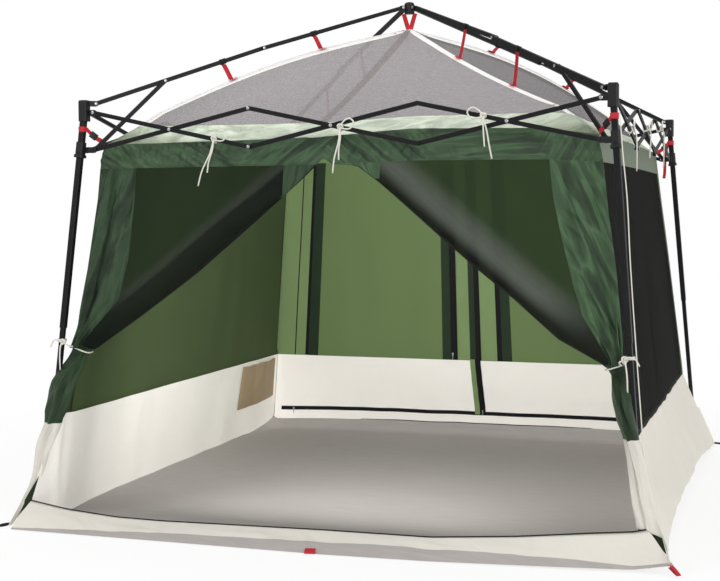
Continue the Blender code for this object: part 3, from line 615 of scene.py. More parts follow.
def swept_mesh(name, path, sections, kind, looped, rounded):
    """Skin over sections set along a path, each a ring of points that turns clockwise seen along the path."""
    path, sections = np.asarray(path), np.asarray(sections)
    count, sides = sections.shape[:2]
    run = np.concatenate([[0], np.linalg.norm(np.diff(path, axis=0), axis=1).cumsum()])
    around = np.linalg.norm(np.diff(sections[0], axis=0, prepend=sections[0][:1]), axis=1).cumsum()
    flat = np.stack([np.tile(around, count), np.repeat(run, sides)], axis=1)
    faces = []
    for i in range(count if looped else count - 1):
        ring, following = i * sides, ((i + 1) % count) * sides
        for j in range(sides):
            k = (j + 1) % sides
            faces.append((ring + j, ring + k, following + k, following + j))
    if not looped:
        faces.append(tuple(reversed(range(sides))))
        faces.append(tuple((count - 1) * sides + j for j in range(sides)))
    points = sections.reshape(-1, 3)
    return drawn_mesh(name, points, faces, [kind], [0] * len(faces), flat, rounded)


def tube(name, path, radius, kind, sides=8, looped=False):
    """Round cord or piping along a path."""
    path = np.asarray(path, float)
    tangents = directions(path, looped)
    helper = np.array((0.31, 0.23, 1.0)) if abs(tangents[0][2]) < 0.9 else np.array((1.0, 0.2, 0.1))
    normal = np.cross(tangents[0], helper)
    sections = []
    angles = np.linspace(0, 2 * math.pi, sides, endpoint=False)
    for point, tangent in zip(path, tangents):
        normal = unit(normal - tangent * np.dot(normal, tangent))
        other = np.cross(tangent, normal)
        sections.append(
            point + radius * (np.cos(angles)[:, None] * normal + np.sin(angles)[:, None] * other)
        )
    return link(name, swept_mesh(name, path, sections, kind, looped, True))


def webbing(name, path, across, width, kind="webbing", thickness=0.0014, looped=False):
    """Flat strap along a path; across is the way its width lies."""
    path = np.asarray(path, float)
    tangents = directions(path, looped)
    across = unit(np.broadcast_to(np.asarray(across, float), path.shape))
    normal = unit(np.cross(tangents, across))
    half, deep = across * width / 2, normal * thickness / 2
    sections = np.stack([path + half + deep, path - half + deep, path - half - deep, path + half - deep], axis=1)
    return link(name, swept_mesh(name, path, sections, kind, looped, False))


def joined(name, parts):
    """One piece from several that are worked out alike."""
    bpy.ops.object.select_all(action="DESELECT")
    for part in parts:
        part.select_set(True)
    bpy.context.view_layer.objects.active = parts[0]
    if len(parts) > 1:
        bpy.ops.object.join()
    parts[0].name = name
    return parts[0]


# The tent's lines


LEG_SLANT = 0.083  # how far a leg leans in, for each metre of height
LEG_CLEARANCE = 0.036  # from a leg's axis to the edge of a wall
LEG_ANCHOR = (1.33, 0.9)  # point on a leg: distance from the middle planes, and height
SEAM_INSET = 0.002  # corner seam of the walls inside the tent's outline
SLIT_HEIGHT = 0.25  # lower end of the slit for a leg
EAVE_END = 1.18
FRONT_EAVE = ((-1.18, -0.5, -0.1, 0.35, 0.95, 1.18), (0.0, 0.008, 0.014, 0.044, 0.034, 0.0))  # places, lifts
EAVE_BOW = 0.012  # lift in the middle of the other eaves
PLEAT, RUMPLE = 0.011, 0.008  # depth of a hung wall's pleats, and of its finer waves
TUB_BACK, TUB_SIDE = 1.47, 1.395  # seam of the tub and the floor from the middle, halfway along a wall
BACK_SEAM = (0.068, 0.010, 0.004)  # its height at the back wall, its slope and its waves
FLOOR_LEVEL, CORNER_LIFT = 0.004, 0.070
TUB_GAP = 0.034  # between the tub's upper edge and the wall
TUB_BILLOW = 0.004
TUB_OVERRUN = 0.012  # how far the right tub runs on past its corner at the doorway
TUB_CORNER = (1.355, 1.301)  # corner seam of the tub from the middle planes, on the floor and at its upper edge
TUB_BEND = 0.86  # share of the left tub's front half that lies behind its leg
LAP_FOLD = (0.008, 0.014, 0)  # height of the fold in the rest of it
# Front edge of the left tub, in front of its leg behind the tied-back flap, as the left side's own s, -depth and z
TUB_LAP = ((1.528, -1.405, 0.100), (1.500, -1.387, 0.228), (1.447, -1.350, 0.363), (1.405, -1.318, 0.505))
LINING_GAP = 0.016  # storm panels behind the walls
SLACK_SPAN = (0.45, 1.05)  # the right tub's upper edge sinks between these places, towards the doorway,
SLACK_DROP = 0.29  # so far,
SLACK_REACH = 1.428  # and leans out to here, against the skirt


def reach(z):
    """Half width of the tent at a height."""
    s = sizes()
    return np.interp(z, (0, s.skirt_height, s.eave_height), (s.hem_half, s.skirt_half, s.eave_half))


def leg_line(z):
    """Distance of a leg's axis from the middle planes at a height."""
    return sizes().leg_spread - LEG_SLANT * z


def wall_end(z):
    """Half length of a wall: to the corner seam, or short of the leg above the slit."""
    seam = reach(z) - SEAM_INSET
    return min(seam, leg_line(z) - LEG_CLEARANCE) if z >= SLIT_HEIGHT else seam


def eave_lift(side, s):
    """Height of the eaves above their corners: the front one is drawn up at its right half."""
    if side == 0:
        return np.interp(s, *FRONT_EAVE)
    return EAVE_BOW * max(0.0, 1 - (s / EAVE_END) ** 2)


def wall_wave(side, s, z):
    """How far a hung wall bellies inwards."""
    hang = math.sin(math.pi * np.interp(z, (0, sizes().eave_height), (0, 1)))
    pleat = PLEAT * (1 - min(1, (s / 1.3) ** 2)) * ripple(s * 2.6 + side * 9, z * 0.5)
    return hang * (pleat + RUMPLE * ripple(s * 6 + side * 5, z * 1.2, 3))


def front_end(side):
    """Hand of a side wall's end at the doorway: +1 right, -1 left, 0 for the back wall."""
    return {1: -1, 3: 1}.get(side, 0)


def tub_line(side, s):
    """Distance from the middle and height of the seam between the tub and the floor."""
    share = 0.0 if side == 1 and s < 0 else min(1, abs(s) / TUB_CORNER[0]) ** 6
    if side == 2:
        height, slope, wave = BACK_SEAM
        lift = height + slope * -s / TUB_CORNER[0] + wave * ripple(s * 5, 1.0)
        return TUB_BACK - (TUB_BACK - TUB_CORNER[0]) * share, lift
    out = TUB_SIDE - (TUB_SIDE - TUB_CORNER[0]) * share + 0.010 * ripple(s * 4.5, side) * (1 - share)
    return out, FLOOR_LEVEL + (0.0 if s * front_end(side) > 0 else CORNER_LIFT * share)


def tub_point(side, s_share, rise):
    """Point of the tub: s_share from -1 to 1 along the wall, rise from 0 at the floor to 1 at its upper edge."""
    end = TUB_CORNER[0] + (TUB_CORNER[1] - TUB_CORNER[0]) * rise
    share, past = s_share, 0.0
    if side == 3 and s_share > 0:
        share = min(1, s_share / TUB_BEND)
        past = max(0, s_share - TUB_BEND) / (1 - TUB_BEND)
    if side == 1 and share < 0:
        end = TUB_CORNER[0] + TUB_OVERRUN
    s = share * end
    slack = smooth(-s, *SLACK_SPAN) if side == 1 else 0.0
    out, low = tub_line(side, s)
    top = sizes().tub_height
    z = low + (top - SLACK_DROP * slack - low) * rise
    high = reach(top) - TUB_GAP - wall_wave(side, s, top)
    high += (SLACK_REACH - high) * slack
    middle = out + (high - out) * rise
    deep = middle if side == 1 and s < 0 else middle + (end - middle) * min(1, abs(s) / end) ** 6
    deep += TUB_BILLOW * math.sin(math.pi * rise) * ripple(s * 3, rise * 2, side + 5)
    point = np.array((s, -deep, z))
    if past:
        lap = np.array([np.interp(rise, np.linspace(0, 1, len(TUB_LAP)), line) for line in zip(*TUB_LAP)])
        fold = hump(past, 0.12 + 0.7 * rise, 0.10) * math.sin(math.pi * past)
        point += (lap - point) * past + np.array(LAP_FOLD) * fold
    return point


def carried(piece, body):
    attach(piece, body)
    return piece


def wall_halves():
    """Halves of the right, back and left walls: side, hand, name and the corner whose leg carries it."""
    for side in (1, 2, 3):
        yield side, -1, f"{SIDES[side]}_left", CORNERS[side]
        yield side, 1, f"{SIDES[side]}_right", CORNERS[(side + 1) % 4]


def hang_on_leg(piece, side, hand, corner):
    """Ride on the outer leg tube."""
    carried(piece, f"upper_leg_{corner}")
    away, height = LEG_ANCHOR
    anchor = turned((hand * away, -away, height), side)
    tuple(turned((1, 0, 0), side))
    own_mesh(piece)


def hang_cloth(name, local, zones, place, lining=None):
    """Sheet that hangs from its carrier and rides on the leg of its place, which is a side, hand and corner.

    Its grid is in the front side's place, and is turned to its own.
    """
    grid = local @ quarter_turn(place[0]).T
    piece = sheet(name, grid, zones, lining)
    declare_sheet(grid)
    hang_on_leg(piece, *place)
    return piece


# Roof


ROOF_LIFTS = (0.06, -0.03, 0.095, -0.035)  # how far each hip is drawn up by its straps
ROOF_DIP = 0.03  # sag halfway between two hips
ROOF_STEPS = 24  # columns on each side of a hip
ROOF_ROWS = (30, 12)  # rows of the net and of the band at the eaves
BAND_PULL, NET_WAVE = 0.006, 0.005


def roof_height(corner, half, share):
    """Height of the roof beside a hip; share goes from 0 in mid panel to 1 on the hip."""
    s = sizes()
    run = (half - s.peak_half) / (s.eave_half - s.peak_half)
    z = np.interp(half, (s.peak_half, s.kink_half, s.eave_half), (s.peak_height, s.kink_height, s.eave_height))
    dip = ROOF_DIP * math.sin(math.pi * run) * (1 - share**2)
    rise = ROOF_LIFTS[corner] * math.sin(math.pi * min(1, run * 1.1)) * share**2
    return z - dip + rise


def roof_grid(corner):
    """Roof cloth round one hip: rows from the peak to the eaves, columns over the hip."""
    s = sizes()
    spans = np.concatenate([
        np.linspace(s.peak_half, s.net_half, ROOF_ROWS[0]),
        np.linspace(s.net_half, s.eave_half, ROOF_ROWS[1])[1:],
    ])
    rows = []
    for half in spans:
        inner = max(half - s.hip_tape, half * 0.4)
        shares = np.concatenate([np.linspace(0, inner / half, ROOF_STEPS), [1.0]])
        banded = smooth(half, s.net_half, s.net_half + 0.04)
        left, right = [], []
        for share in shares:
            z = roof_height(corner, half, share)
            for row, side, hand in ((right, corner, -1), (left, (corner - 1) % 4, 1)):
                along = hand * share * half
                pull = creases(along, half, 0.5 * math.sin(along * 5), 0.05, 4, side) * BAND_PULL * banded
                wave = NET_WAVE * ripple(along * 3 + side * 7, half * 4) * (1 - banded) * (1 - share)
                lift = eave_lift(side, along) * smooth(half, s.net_half - 0.15, s.eave_half)
                up = pull * (1 - share**4) + wave + lift
                row.append(turned((along, -half, z + up), side))
        rows.append(left[:-1] + right[::-1])
    return np.array(rows)


class SCREENHOUSE_OT_roof(bpy.types.Operator):
    """Net roof with a solid band at the eaves and white tape on its hips"""

    bl_idname = "screen_house.roof"
    bl_label = "Roof"

    def execute(self, context):
        for corner, name in enumerate(CORNERS):
            grid = roof_grid(corner)
            rows, columns = grid.shape[:2]
            middle = columns // 2
            zones = np.full((rows - 1, columns - 1), "roof_net", dtype=object)
            # The right-hand panel is in the darker copy of the net: painted shade.
            if corner == 1:
                zones[:, middle:] = "side_roof_net"
            if corner == 2:
                zones[:, :middle] = "side_roof_net"
            zones[ROOF_ROWS[0] - 1:, :] = "band"
            zones[:ROOF_ROWS[0] - 1, middle - 1:middle + 1] = "tape"
            # The hip tape's inner face is in painted shade.
            piece = sheet(f"roof_{name}", grid, zones, {"tape": "hip_seam"})
            declare_sheet(grid)
            if corner == 0:
                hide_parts("roof")
            carried(piece, f"upper_rafter_{name}")
            across = turned((-1, 1, 0), corner) / DIAGONAL
            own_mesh(piece)
        return {"FINISHED"}


# Walls


RIGHT_HEM = ((-1.52, -1.3, -0.4, 0.2, 0.6, 1.52), (0.09, 0.135, 0.11, 0.075, 0.085, 0.0))  # places, lifts
HEM_BOW = 0.06  # lift in the middle of the other hems
HEM_REACH = 0.42  # height up to which a skirt follows its hem
SKIRT_PULL, SKIRT_RUMPLE, SKIRT_WAVE = 0.030, 0.012, 0.012
WALL_INSET = 0.004  # walls inside the tent's outline
BACK_NET, SIDE_NET = (0.10, 0.80), (0.0, 0.955)  # shares of a half wall between which its net lies


def wall_rows():
    s = sizes()
    return np.concatenate([
        np.linspace(s.eave_height, s.eave_height - s.header, 8),
        np.linspace(s.eave_height - s.header, s.skirt_height, 34)[1:],
        np.linspace(s.skirt_height, SLIT_HEIGHT, 9)[1:],
        np.linspace(SLIT_HEIGHT - 0.012, 0.006, 14),
    ])


def hem_lift(side, s):
    """Height of the hem off the ground between its pegs."""
    if side == 1:
        return np.interp(s, *RIGHT_HEM)
    return HEM_BOW * max(0.0, 1 - (s / 1.5) ** 2)


def wall_grid(side, hand, columns):
    """Half of a wall, from its middle to one corner, in the front side's place."""
    s = sizes()

    def point(z, share):
        along = hand * share * wall_end(z)
        skirt = 1 - smooth(z, 0.0, s.skirt_height)
        lift = hem_lift(side, along) * (1 - smooth(z, 0, HEM_REACH))
        pull = SKIRT_PULL * skirt * (1 - share**2) + SKIRT_RUMPLE * skirt * ripple(along * 4 + side, z * 3, 7)
        edge = SKIRT_WAVE * ripple(along * 7 + side * 3, 4.0) * hump(z, s.skirt_height, 0.09)
        up = eave_lift(side, along) * smooth(z, s.eave_height - 0.2, s.eave_height)
        return along, -reach(z) + wall_wave(side, along, z) + pull + WALL_INSET, z + lift + edge + up

    grid = lattice(wall_rows(), columns, point)
    return grid if hand > 0 else grid[:, ::-1]


class SCREENHOUSE_OT_walls(bpy.types.Operator):
    """Right, back and left walls: header, net window, border and cream skirt, in two halves each"""

    bl_idname = "screen_house.walls"
    bl_label = "Walls"

    def execute(self, context):
        s = sizes()
        heights = wall_rows()
        middles = (heights[1:] + heights[:-1]) / 2
        for side, hand, name, corner in wall_halves():
            centre, border = BACK_NET if side == 2 else SIDE_NET
            columns = np.concatenate([
                np.linspace(0, 0.10, 6), np.linspace(0.10, border, 30)[1:], np.linspace(border, 1, 8)[1:],
            ])
            spans = (columns[1:] + columns[:-1]) / 2
            zones = np.full((len(middles), len(spans)), "cream", dtype=object)
            zones[middles > s.skirt_height] = "side_header"
            window = (middles > s.skirt_height) & (middles <= s.eave_height - s.header)
            zones[np.ix_(window, ((spans > centre) & (spans < border))[::hand])] = "wall_net"
            # The side walls' header is lined in the darker panel green: painted shade.
            piece = hang_cloth(
                f"wall_{name}", wall_grid(side, hand, columns), zones, (side, hand, corner),
                {"side_header": "pale_green" if side == 2 else "dark_panel"},
            )
            if hand < 0:
                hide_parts(f"wall_{SIDES[side]}")
        return {"FINISHED"}


# Storm panels inside the walls: (start, end, finish, steps) across, as shares of the half width, from the left
# as seen from outside
# The darker green strips beside the zips, here and in the strips below, are painted shadow of the zip flaps.
BACK_PANELS = {
    "back_left": (
        (-0.84, -0.826, "zip", 2), (-0.826, -0.772, "dark_green", 4), (-0.772, -0.2185, "panel", 26),
        (-0.2185, -0.171, "dark_green", 4), (-0.171, -0.146, "zip", 2),
    ),
    "back_right": (
        (0.0505, 0.084, "zip", 2), (0.084, 0.126, "dark_green", 4), (0.126, 0.772, "panel", 30),
        (0.772, 0.826, "dark_green", 4), (0.826, 0.845, "zip", 2),
    ),
}
BACK_STRIP = (
    (-0.152, -0.0661, "pale_green", 5), (-0.0661, -0.0381, "zip", 3), (-0.0381, -0.0101, "dark_green", 3),
    (-0.0101, 0.056, "pale_green", 4),
)
CORNER_STRIP = ((0.842, 0.893, "pale_green", 4), (0.893, 0.899, "zip", 1), (0.899, 0.985, "pale_green", 8))
# The side walls' panels are in the darker copy of the panel green: painted shade.
SIDE_PANELS = {
    -1: ((-0.99, -0.02, "dark_panel", 30), (-0.02, 0.0, "dark_panel", 1)),
    1: ((0.0, 0.02, "dark_panel", 1), (0.02, 0.99, "dark_panel", 30)),
}


PANEL_ROWS = 30
PANEL_WAVE, STRIP_WAVE, CORNER_WAVE = 0.003, 0.002, 0.008


def panel_grid(side, plan, top, bottom, inset, waviness):
    """Cloth hung inside a wall over a range of shares, in the front side's place."""
    columns = np.concatenate([
        np.linspace(start, end, steps + 1)[0 if i == 0 else 1:] for i, (start, end, _, steps) in enumerate(plan)
    ])

    def point(z, share):
        s = share * min(wall_end(z), reach(z) - LINING_GAP)
        low = smooth(z, bottom + 0.14, bottom)
        edge = 0.010 * low * ripple(s * 5 + side, 2.0)
        wave = waviness * (ripple(s * 3 + side * 4, z * 1.4, 8) + 1)
        return s, -reach(z) + wall_wave(side, s, z) + LINING_GAP + inset + wave, z + edge

    kinds = [kind for _, _, kind, steps in plan for _ in range(steps)]
    grid = lattice(np.linspace(top, bottom, PANEL_ROWS), columns, point)
    return grid, np.array([kinds] * (PANEL_ROWS - 1), dtype=object)


class SCREENHOUSE_OT_panels(bpy.types.Operator):
    """Storm panels zipped inside the net windows, with the strips between them"""

    bl_idname = "screen_house.panels"
    bl_label = "Storm panels"

    def execute(self, context):
        s = sizes()
        top, bottom = s.eave_height - 0.02, s.tub_height - 0.04
        for side, hand, name, corner in wall_halves():
            plan = BACK_PANELS[name] if side == 2 else SIDE_PANELS[hand]
            pieces = [(f"panel_{name}", plan, 0.0, PANEL_WAVE)]
            if side == 2 and hand < 0:
                pieces.append(("strip_back_centre", BACK_STRIP, -0.006, STRIP_WAVE))
            if side == 2 and hand > 0:
                pieces.append(("strip_back_corner", CORNER_STRIP, -0.004, CORNER_WAVE))
            for piece_name, layout, inset, waviness in pieces:
                grid, zones = panel_grid(side, layout, top, bottom, inset, waviness)
                hang_cloth(piece_name, grid, zones, (side, hand, corner))
        return {"FINISHED"}


TUB_RISES = (0.0, 0.045, 0.09, 0.138, 0.168, 0.198, 0.24, 0.32, 0.42, 0.52, 0.62, 0.72, 0.82, 0.91, 1.0)
BOTTOM_ZIP = (0.138, 0.198)  # rises between which the back wall's bottom zip lies
ZIP_END = 0.965  # share of a half wall where it ends
TUB_STEPS = 56


class SCREENHOUSE_OT_tub(bpy.types.Operator):
    """Cream tub round the floor, inside the legs, with the back wall's bottom zip"""

    bl_idname = "screen_house.tub"
    bl_label = "Tub"

    def execute(self, context):
        rises = np.array(TUB_RISES[::-1])
        centres = (rises[1:] + rises[:-1]) / 2
        for side, hand, name, corner in wall_halves():
            shares = np.linspace(0, 1, TUB_STEPS)[::hand] * hand
            grid = lattice(rises, shares, lambda rise, share: tub_point(side, share, rise))
            zones = np.full((len(rises) - 1, len(shares) - 1), "tub", dtype=object)
            if side == 2:
                spans = abs(shares[1:] + shares[:-1]) / 2
                zipped = (centres > BOTTOM_ZIP[0]) & (centres < BOTTOM_ZIP[1])
                zones[np.ix_(zipped, spans < ZIP_END)] = "zip"
            hang_cloth(f"tub_{name}", grid, zones, (side, hand, corner))
        self.centre_zip()
        self.pocket()
        return {"FINISHED"}

    def centre_zip(self):
        """Tape that carries the back wall's middle zip down the tub, with a pale flap beside it"""
        rises = np.linspace(1.02, 0.155, 20)
        edges = ((-0.0665, "zip"), (-0.052, "zip"), (-0.0385, "pale_green"), (-0.026, "pale_green"), (-0.014, None))
        shares, kinds = zip(*edges)

        def point(rise, share):
            at = tub_point(2, share + 0.002 * ripple(rise * 5, 3.0), rise)
            return at + (0, 0.004 + (0.003 if share > -0.04 else 0), 0)

        grid = lattice(rises, shares, point)
        zones = np.array([kinds[:-1]] * (len(rises) - 1), dtype=object)
        hang_cloth("tub_centre_zip", grid, zones, (2, -1, CORNERS[2]))

    def pocket(self):
        """Small pocket with a gathered mouth in the back corner of the left wall"""

        def point(down, across):
            rise = 0.955 - 0.56 * down + 0.02 * ripple(across * 5, 1.0) * (1 - down)
            arch = math.sin(math.pi * across)
            belly = 0.006 + 0.020 * arch**0.5 * math.sin(math.pi * (0.15 + 0.75 * down))
            fold = 0.006 * abs(math.sin(3 * math.pi * across)) * (1 - 0.4 * down)
            crumple = 0.004 * creases(across, down, 0.9, 0.22, 2.5, 6)
            return tub_point(3, 0.40 * across - 0.955, rise) + (0, belly + fold + crumple * arch, 0)

        grid = lattice(np.linspace(0, 1, 22), np.linspace(0, 1, 34), point)
        hang_cloth("pocket", grid, "pocket", (3, -1, CORNERS[3]))


# Tied-back flaps, by hand. The outer, window and zip edges are (distance from the middle, height), from the top down,
# and edge is the line that the net's bands follow. corner is the roll's least distance from the middle, parting the
# height where it begins, and strip the height of the cream foot. forward, toe and toe_lift say how the part under the
# tie stands, and crumple how deep the border's wrinkles are.
FLAPS = {
    -1: {
        "outer": ((1.18, 1.78), (1.200, 1.70), (1.208, 1.516), (1.246, 1.181), (1.277, 0.989), (1.295, 0.83),
                  (1.341, 0.734), (1.384, 0.614), (1.395, 0.52), (1.392, 0.454), (1.412, 0.382),
                  (1.424, 0.226), (1.454, 0.06), (1.470, 0.008)),
        "window": ((1.000, 1.78), (1.008, 1.677), (1.010, 1.512), (1.028, 1.24), (1.066, 1.042), (1.235, 0.83)),
        "zip": ((-0.005, 1.78), (0.002, 1.74), (0.123, 1.637), (0.252, 1.525), (0.318, 1.472), (0.664, 1.178),
                (0.962, 0.961), (1.197, 0.800), (1.219, 0.775), (1.220, 0.691), (1.242, 0.597), (1.270, 0.516),
                (1.290, 0.487), (1.332, 0.363), (1.374, 0.228), (1.412, 0.13), (1.450, 0.03), (1.462, 0.008)),
        "edge": ((0.252, 1.525), (0.962, 0.961)),
        "corner": 0.255, "parting": 1.525, "strip": 0.465,
        "forward": 0.075, "toe": 0.085, "toe_lift": 0.0, "crumple": 0.007,
    },
    1: {
        "outer": ((1.18, 1.78), (1.187, 1.741), (1.205, 1.656), (1.232, 1.439), (1.268, 1.214), (1.300, 0.936),
                  (1.308, 0.83), (1.340, 0.737), (1.358, 0.65), (1.372, 0.58), (1.386, 0.521), (1.400, 0.485),
                  (1.422, 0.416), (1.456, 0.284), (1.496, 0.137), (1.526, 0.008)),
        "window": ((0.965, 1.78), (0.971, 1.679), (0.994, 1.516), (1.031, 1.354), (1.09, 1.139), (1.131, 1.016),
                   (1.250, 0.84)),
        "zip": ((-0.012, 1.78), (-0.055, 1.725), (-0.060, 1.690), (-0.016, 1.664), (0.102, 1.655), (0.204, 1.590),
                (0.507, 1.333), (0.671, 1.198), (0.831, 1.076), (1.029, 0.91), (1.238, 0.800), (1.258, 0.77),
                (1.266, 0.692), (1.290, 0.59), (1.316, 0.534), (1.338, 0.431), (1.352, 0.355), (1.366, 0.262),
                (1.380, 0.205), (1.386, 0.152), (1.440, 0.148), (1.484, 0.144), (1.498, 0.100), (1.520, 0.008)),
        "edge": ((0.204, 1.586), (1.029, 0.910)),
        "corner": 0.213, "parting": 1.60, "strip": 0.52,
        "forward": 0.055, "toe": 0.0, "toe_lift": 0.045, "crumple": 0.011,
    },
}
TIE_HEIGHT = 0.805
BORDER_STEPS, WINDOW_STEPS, ROLL_STEPS = 32, 84, 30
ROLL_WIDTH = 0.17  # rolled net beside the zip edge, square to it
EDGE_SLOPE = 0.63  # square distance to the zip edge, for each metre across
ROLL_DEPTH, ROLL_TUCK = 0.040, 0.020  # height of the roll, and how far the edge turns in behind it
BORDER_RIDGE, BORDER_DIP = 0.020, 0.012  # the border's long folds
GATHERS, DRAWN_WAVE = 0.012, 0.006  # gathers above the tie, and waves all over the drawn part
HEADER_RELIEF, HEM_RELIEF = 0.013, 0.0025
WAIST_BELLY, WAIST_FOLD, WAIST_CRUMPLE = 0.055, 0.013, 0.012  # part that hangs under the tie


def edge_at(points, z):
    reaches, heights = zip(*points)
    return np.interp(z, heights[::-1], reaches[::-1])


def flap_rows(hand):
    s = sizes()
    head, strip = s.eave_height - s.header, FLAPS[hand]["strip"]
    return np.concatenate([
        np.linspace(s.eave_height, head, 22), np.linspace(head, TIE_HEIGHT, 110)[1:],
        np.linspace(TIE_HEIGHT, strip, 34)[1:], np.linspace(strip, 0.008, 30)[1:],
    ])


def header_wrinkles(hand, x, z):
    """Pull lines of the header, which fan out of the corner and lean towards the doorway."""
    if hand < 0:
        lean = 1.6 * smooth(x, 0.55, 1.0) - 0.75
        fan = (1.0 - smooth(x, 0.75, 1.05)) * smooth(x, 0.1, 0.35)
        strong = 0.35 + 0.65 * max(fan, smooth(x, 0.8, 1.05))
    else:
        lean = 0.85 - 1.7 * smooth(x, 0.35, 0.6)
        strong = 0.25 + 0.75 * (1 - smooth(x, 0.3, 0.5)) + 0.6 * smooth(x, 0.9, 1.05)
    return strong * (creases(hand * x, z, hand * lean, 0.045, 3.5, 11 + hand) + 0.4 * ripple(x * 9, z * 14, hand))


def drawn_depth(hand, x, z, outer, window, free):
    """How far the drawn part of a flap, above its tie, stands out from the tent's side."""
    plan = FLAPS[hand]
    eave = sizes().eave_height
    head = eave - sizes().header
    square = (x - free) * EDGE_SLOPE
    rolled = smooth(z, plan["parting"] + 0.06, plan["parting"] - 0.12)
    depth = rolled * ROLL_DEPTH * math.sin(math.pi * np.clip(square / ROLL_WIDTH, 0, 1) ** 0.7) ** 1.5
    depth -= rolled * ROLL_TUCK * (1 - np.clip(square / 0.03, 0, 1)) ** 2
    border = np.clip((x - window) / max(outer - window, 1e-4), 0, 1)
    edges = smooth(border, 0, 0.12) * (1 - smooth(border, 0.93, 1))
    fold = BORDER_RIDGE * hump(border, 0.42, 0.15) - BORDER_DIP * hump(border, 0.72, 0.12)
    gathers = GATHERS * (1 - smooth(z, TIE_HEIGHT, 1.40)) * math.cos(2 * math.pi * 2.5 * border + 3 * z)
    depth += edges * (fold + gathers) * smooth(head - z, -0.08, 0.12)
    crumple = creases(hand * x, z, hand * 2.25, 0.055, 2.6, hand + 2) * smooth(head - z, -0.05, 0.1)
    depth += plan["crumple"] * edges * crumple + DRAWN_WAVE * ripple(x * 2.2, z * 2.2, hand + 4)
    top = smooth(z, head - 0.004, head + 0.012) * (1 - smooth(z, eave - 0.012, eave))
    depth += HEADER_RELIEF * top * header_wrinkles(hand, x, z)
    if x >= window or z > head:
        depth += HEM_RELIEF * (1 - smooth(border * (outer - window), 0.010, 0.014))
    return depth


def hanging_depth(hand, z, across):
    """How far the part under a flap's tie stands out; across goes from 0 at its outer edge to 1 at the zip."""
    plan = FLAPS[hand]
    under = TIE_HEIGHT - z
    loose = smooth(under, 0.0, 0.12) * (0.35 + 0.65 * smooth(z, 0.30, 0.5))
    belly = WAIST_BELLY * loose * math.sqrt(max(0.0, 1 - (2 * across - 1) ** 2))
    fold = WAIST_FOLD * loose * math.cos(2 * math.pi * (1.6 * across + 0.35 * math.sin(4 * z + hand)))
    crumple = WAIST_CRUMPLE * loose * creases(across * 0.25, z, 1.25, 0.07, 3.0, hand + 9)
    forward = plan["forward"] * smooth(under, 0.02, 0.16) * smooth(z, 0.12, 0.36)
    toe = plan["toe"] * (1 - smooth(z, 0.0, 0.3))
    return belly + fold + crumple + forward + toe


def flap_grid(hand):
    """Flap drawn aside: rows from the eaves to the ground, columns from the corner to the zip edge."""
    plan = FLAPS[hand]
    s = sizes()
    rows = []
    for z in flap_rows(hand):
        outer, free = edge_at(plan["outer"], z), edge_at(plan["zip"], z)
        window = min(edge_at(plan["window"], z), outer) if z > TIE_HEIGHT else outer + (free - outer) * 0.4
        roll = ROLL_WIDTH / EDGE_SLOPE * smooth(z, plan["parting"] + 0.02, plan["parting"] - 0.14)
        inner = max(plan["corner"], free + roll) if z > TIE_HEIGHT else outer + (free - outer) * 0.7
        inner = min(inner, window - 0.25 * (window - free))
        across = np.concatenate([
            np.linspace(outer, window, BORDER_STEPS + 1), np.linspace(window, inner, WINDOW_STEPS + 1)[1:],
            np.linspace(inner, free, ROLL_STEPS + 1)[1:],
        ])
        row = []
        for j, x in enumerate(across):
            if z > TIE_HEIGHT:
                depth = drawn_depth(hand, x, z, outer, window, free)
            else:
                depth = hanging_depth(hand, z, j / (len(across) - 1))
            up = eave_lift(0, hand * x) * smooth(z, s.eave_height - 0.2, s.eave_height)
            toe = plan["toe_lift"] * (1 - smooth(z, 0, 0.2))
            row.append((hand * x, -reach(z) - depth, z + up + toe))
        rows.append(row)
    grid = np.array(rows)
    return grid if hand < 0 else grid[:, ::-1]


# Corners of the patches at the flaps' feet, in the darker green of painted shade: upper, outer, inner and lower
GUSSETS = {
    "left": ((-1.378, -1.500, 0.222), (-1.420, -1.549, 0.126), (-1.405, -1.529, 0.105), (-1.455, -1.598, 0.030)),
    "right": ((1.384, -1.452, 0.225), (1.486, -1.462, 0.160), (1.434, -1.472, 0.150), (1.516, -1.506, 0.072)),
}


